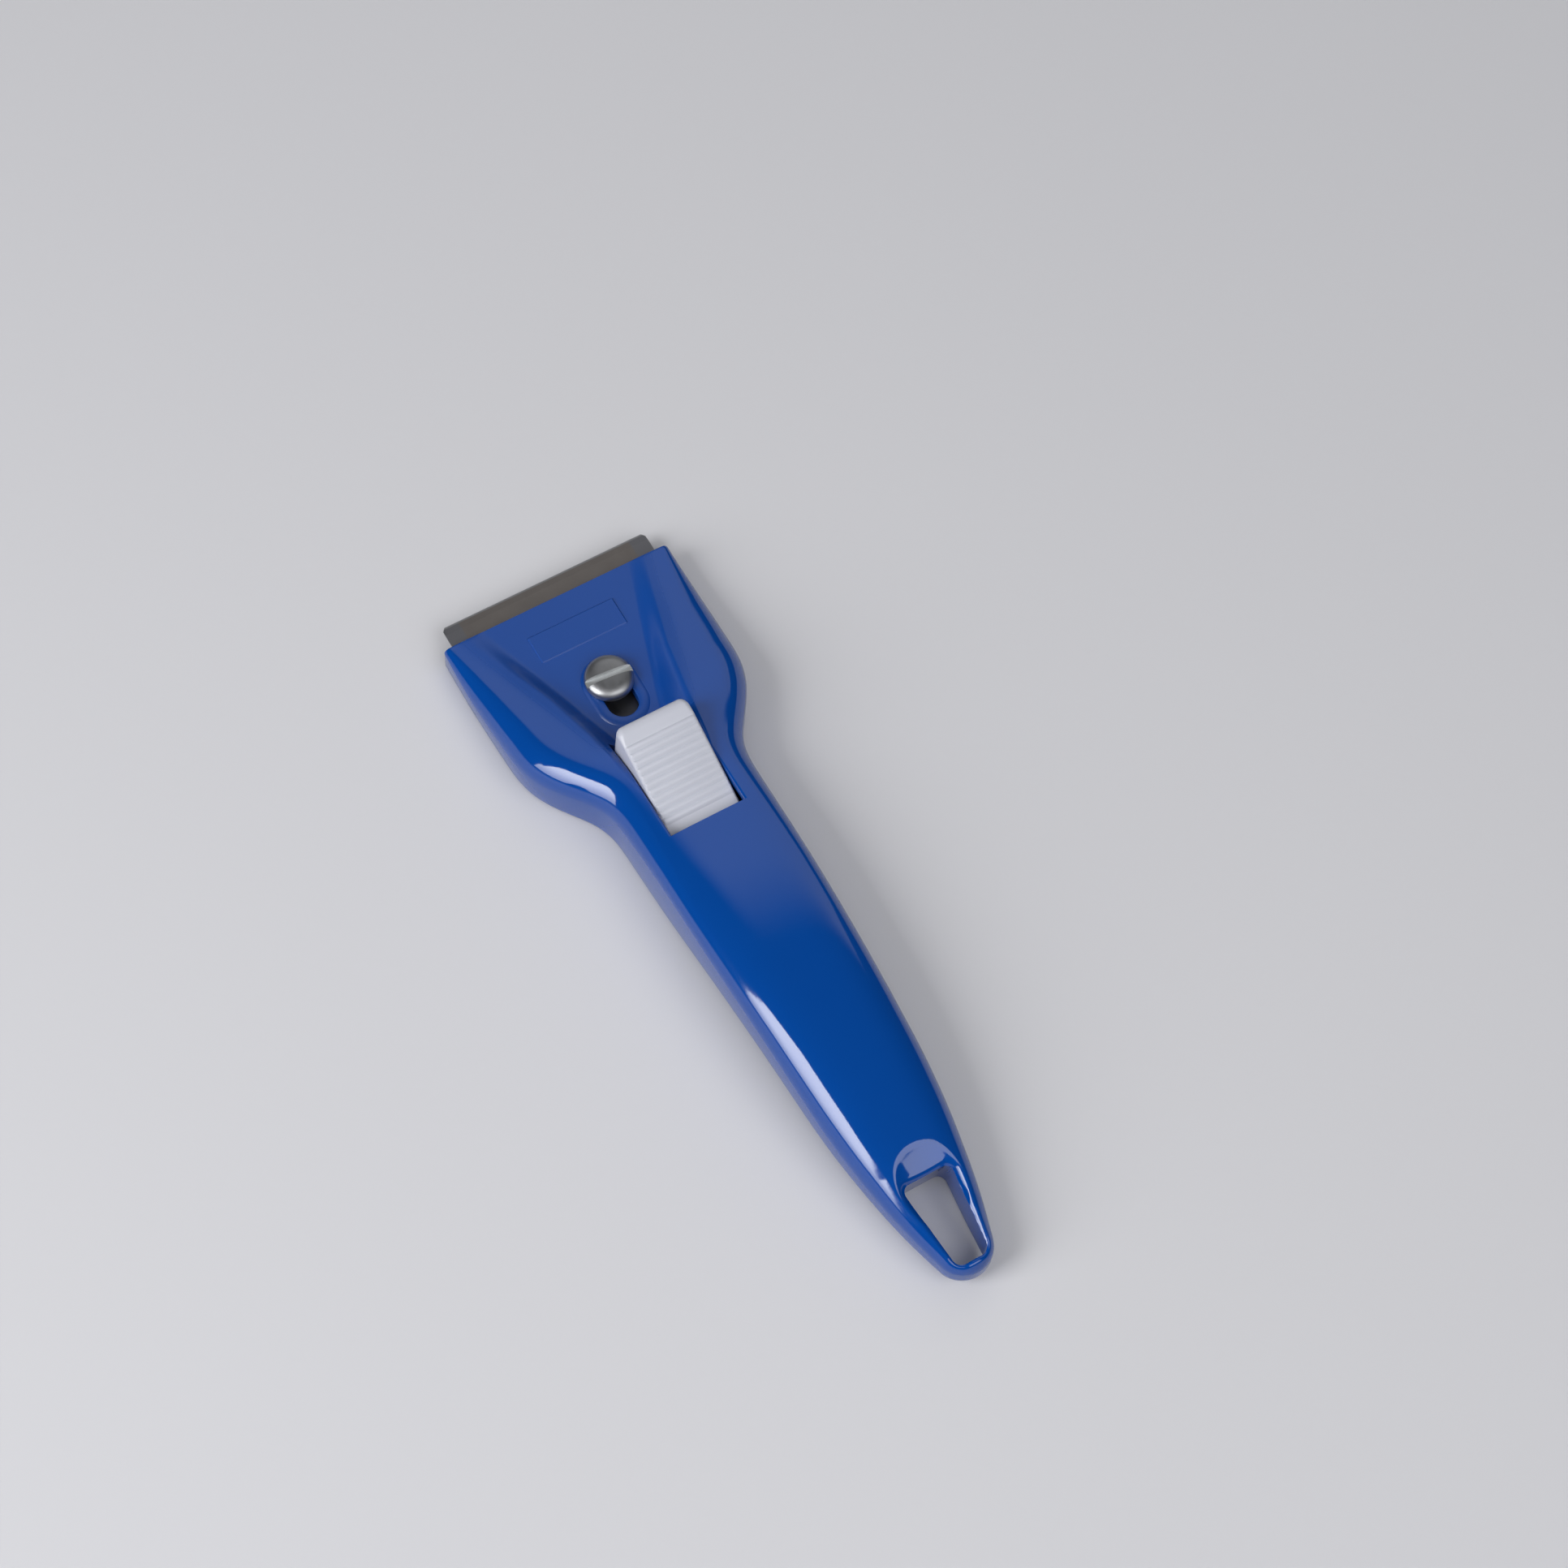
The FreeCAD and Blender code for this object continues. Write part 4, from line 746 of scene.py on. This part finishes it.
tree.links.new(ray.outputs["Is Transmission Ray"], shown.inputs[1])
tree.links.new(far_off.outputs["Result"], distant.inputs[0])
tree.links.new(shown.outputs["Value"], distant.inputs[1])
tree.links.new(distant.outputs["Value"], table.inputs["Fac"])
tree.links.new(shader.outputs["BSDF"], table.inputs[1])
tree.links.new(backdrop.outputs["Emission"], table.inputs[2])
tree.links.new(table.outputs["Shader"], tree.nodes["Material Output"].inputs["Surface"])
floor.data.materials.append(paper)


def soft_box(name, place, aim, size, power):
    """A rectangular studio lamp that faces a point."""
    lamp = bpy.data.lights.new(name, "AREA")
    lamp.shape = "RECTANGLE"
    lamp.size, lamp.size_y = size
    lamp.energy = power
    holder = bpy.data.objects.new(name, lamp)
    bpy.context.collection.objects.link(holder)
    holder.location = place
    holder.rotation_mode = "QUATERNION"
    holder.rotation_quaternion = (Vector(aim) - Vector(place)).to_track_quat("-Z", "Y")
    holder.visible_camera = False
    return holder


# The front box fades out towards three of its sides, as axis, dark end and bright end in metres
FRONT_FADES = (("X", 0.225, 0.315), ("X", 1.0, 0.8), ("Y", -0.03, -0.12))
front_box = soft_box("front_box", place=(0.55, -0.3, 0.567), aim=(0.55, -0.3, 0), size=(1.4, 1.4), power=3.08)
front_box.data.use_nodes = True
tree = front_box.data.node_tree
where = node(tree, "ShaderNodeNewGeometry", (-900, 0))
axes = node(tree, "ShaderNodeSeparateXYZ", (-700, 0))
tree.links.new(where.outputs["Position"], axes.inputs["Vector"])
fades = []
for axis, dark_end, bright_end in FRONT_FADES:
    fade = node(tree, "ShaderNodeMapRange", (-500, -280 * len(fades)), interpolation_type="SMOOTHSTEP",
                From_Min=dark_end, From_Max=bright_end)
    tree.links.new(axes.outputs[axis], fade.inputs["Value"])
    fades.append(fade.outputs["Result"])
glow = fades[0]
for fade in fades[1:]:
    both = node(tree, "ShaderNodeMath", (-250, 0), operation="MULTIPLY")
    tree.links.new(glow, both.inputs[0])
    tree.links.new(fade, both.inputs[1])
    glow = both.outputs["Value"]
tree.links.new(glow, tree.nodes["Emission"].inputs["Strength"])

# The key box is dimmer at its foot
key_box = soft_box("key_box", place=(0.015, 0.826, 0.527), aim=(0.015, 0, 0), size=(0.47, 0.81), power=9.3)
key_box.data.use_nodes = True
tree = key_box.data.node_tree
where = node(tree, "ShaderNodeNewGeometry", (-700, 0))
axes = node(tree, "ShaderNodeSeparateXYZ", (-500, 0))
dimmed = node(tree, "ShaderNodeMapRange", (-300, 0), interpolation_type="SMOOTHSTEP",
              From_Min=0.18, From_Max=0.75, To_Min=0.42)
tree.links.new(where.outputs["Position"], axes.inputs["Vector"])
tree.links.new(axes.outputs["Z"], dimmed.inputs["Value"])
tree.links.new(dimmed.outputs["Result"], tree.nodes["Emission"].inputs["Strength"])
soft_box("tail_box", place=(-0.66, -0.12, 0.80), aim=(-0.06, 0, 0), size=(0.9, 0.78), power=4.4)
room_fill = soft_box("room_fill", place=(0, 0, 1.3), aim=(0, 0, 0), size=(2.2, 2.2), power=6.5)
room_fill.visible_glossy = False

WALL_TOP, WALL_FULL = 0.09, 0.03                   # rise of the line of sight where the wall ends and is full
world = bpy.data.worlds.new("room")
bpy.context.scene.world = world
world.use_nodes = True
tree = world.node_tree
spot = node(tree, "ShaderNodeTexCoord", (-900, 0))
axes = node(tree, "ShaderNodeSeparateXYZ", (-700, 0))
wall = node(tree, "ShaderNodeMapRange", (-500, 0), interpolation_type="SMOOTHSTEP",
            From_Min=WALL_TOP, From_Max=WALL_FULL)
room = node(tree, "ShaderNodeMix", (-250, 0), data_type="RGBA")
room.inputs["A"].default_value = (0.0255, 0.027, 0.03, 1)
room.inputs["B"].default_value = PALE
tree.links.new(spot.outputs["Generated"], axes.inputs["Vector"])
tree.links.new(axes.outputs["Z"], wall.inputs["Value"])
tree.links.new(wall.outputs["Result"], room.inputs["Factor"])
tree.links.new(room.outputs["Result"], tree.nodes["Background"].inputs["Color"])

CAMERA_PLACE, CAMERA_AIM = Vector((-0.21254, 0.14447, 0.57699)), Vector((0.01363, -0.01414, 0.01834))
CAMERA_ROLL = Quaternion((0, 0, 1), math.radians(5.38))
camera = bpy.data.objects.new("camera", bpy.data.cameras.new("camera"))
bpy.context.collection.objects.link(camera)
camera.location = CAMERA_PLACE
camera.rotation_mode = "QUATERNION"
camera.rotation_quaternion = (CAMERA_AIM - CAMERA_PLACE).to_track_quat("-Z", "Y") @ CAMERA_ROLL
camera.data.sensor_width = 36
camera.data.lens = 80.244
bpy.context.scene.camera = camera
bpy.context.scene.view_settings.view_transform = "Standard"
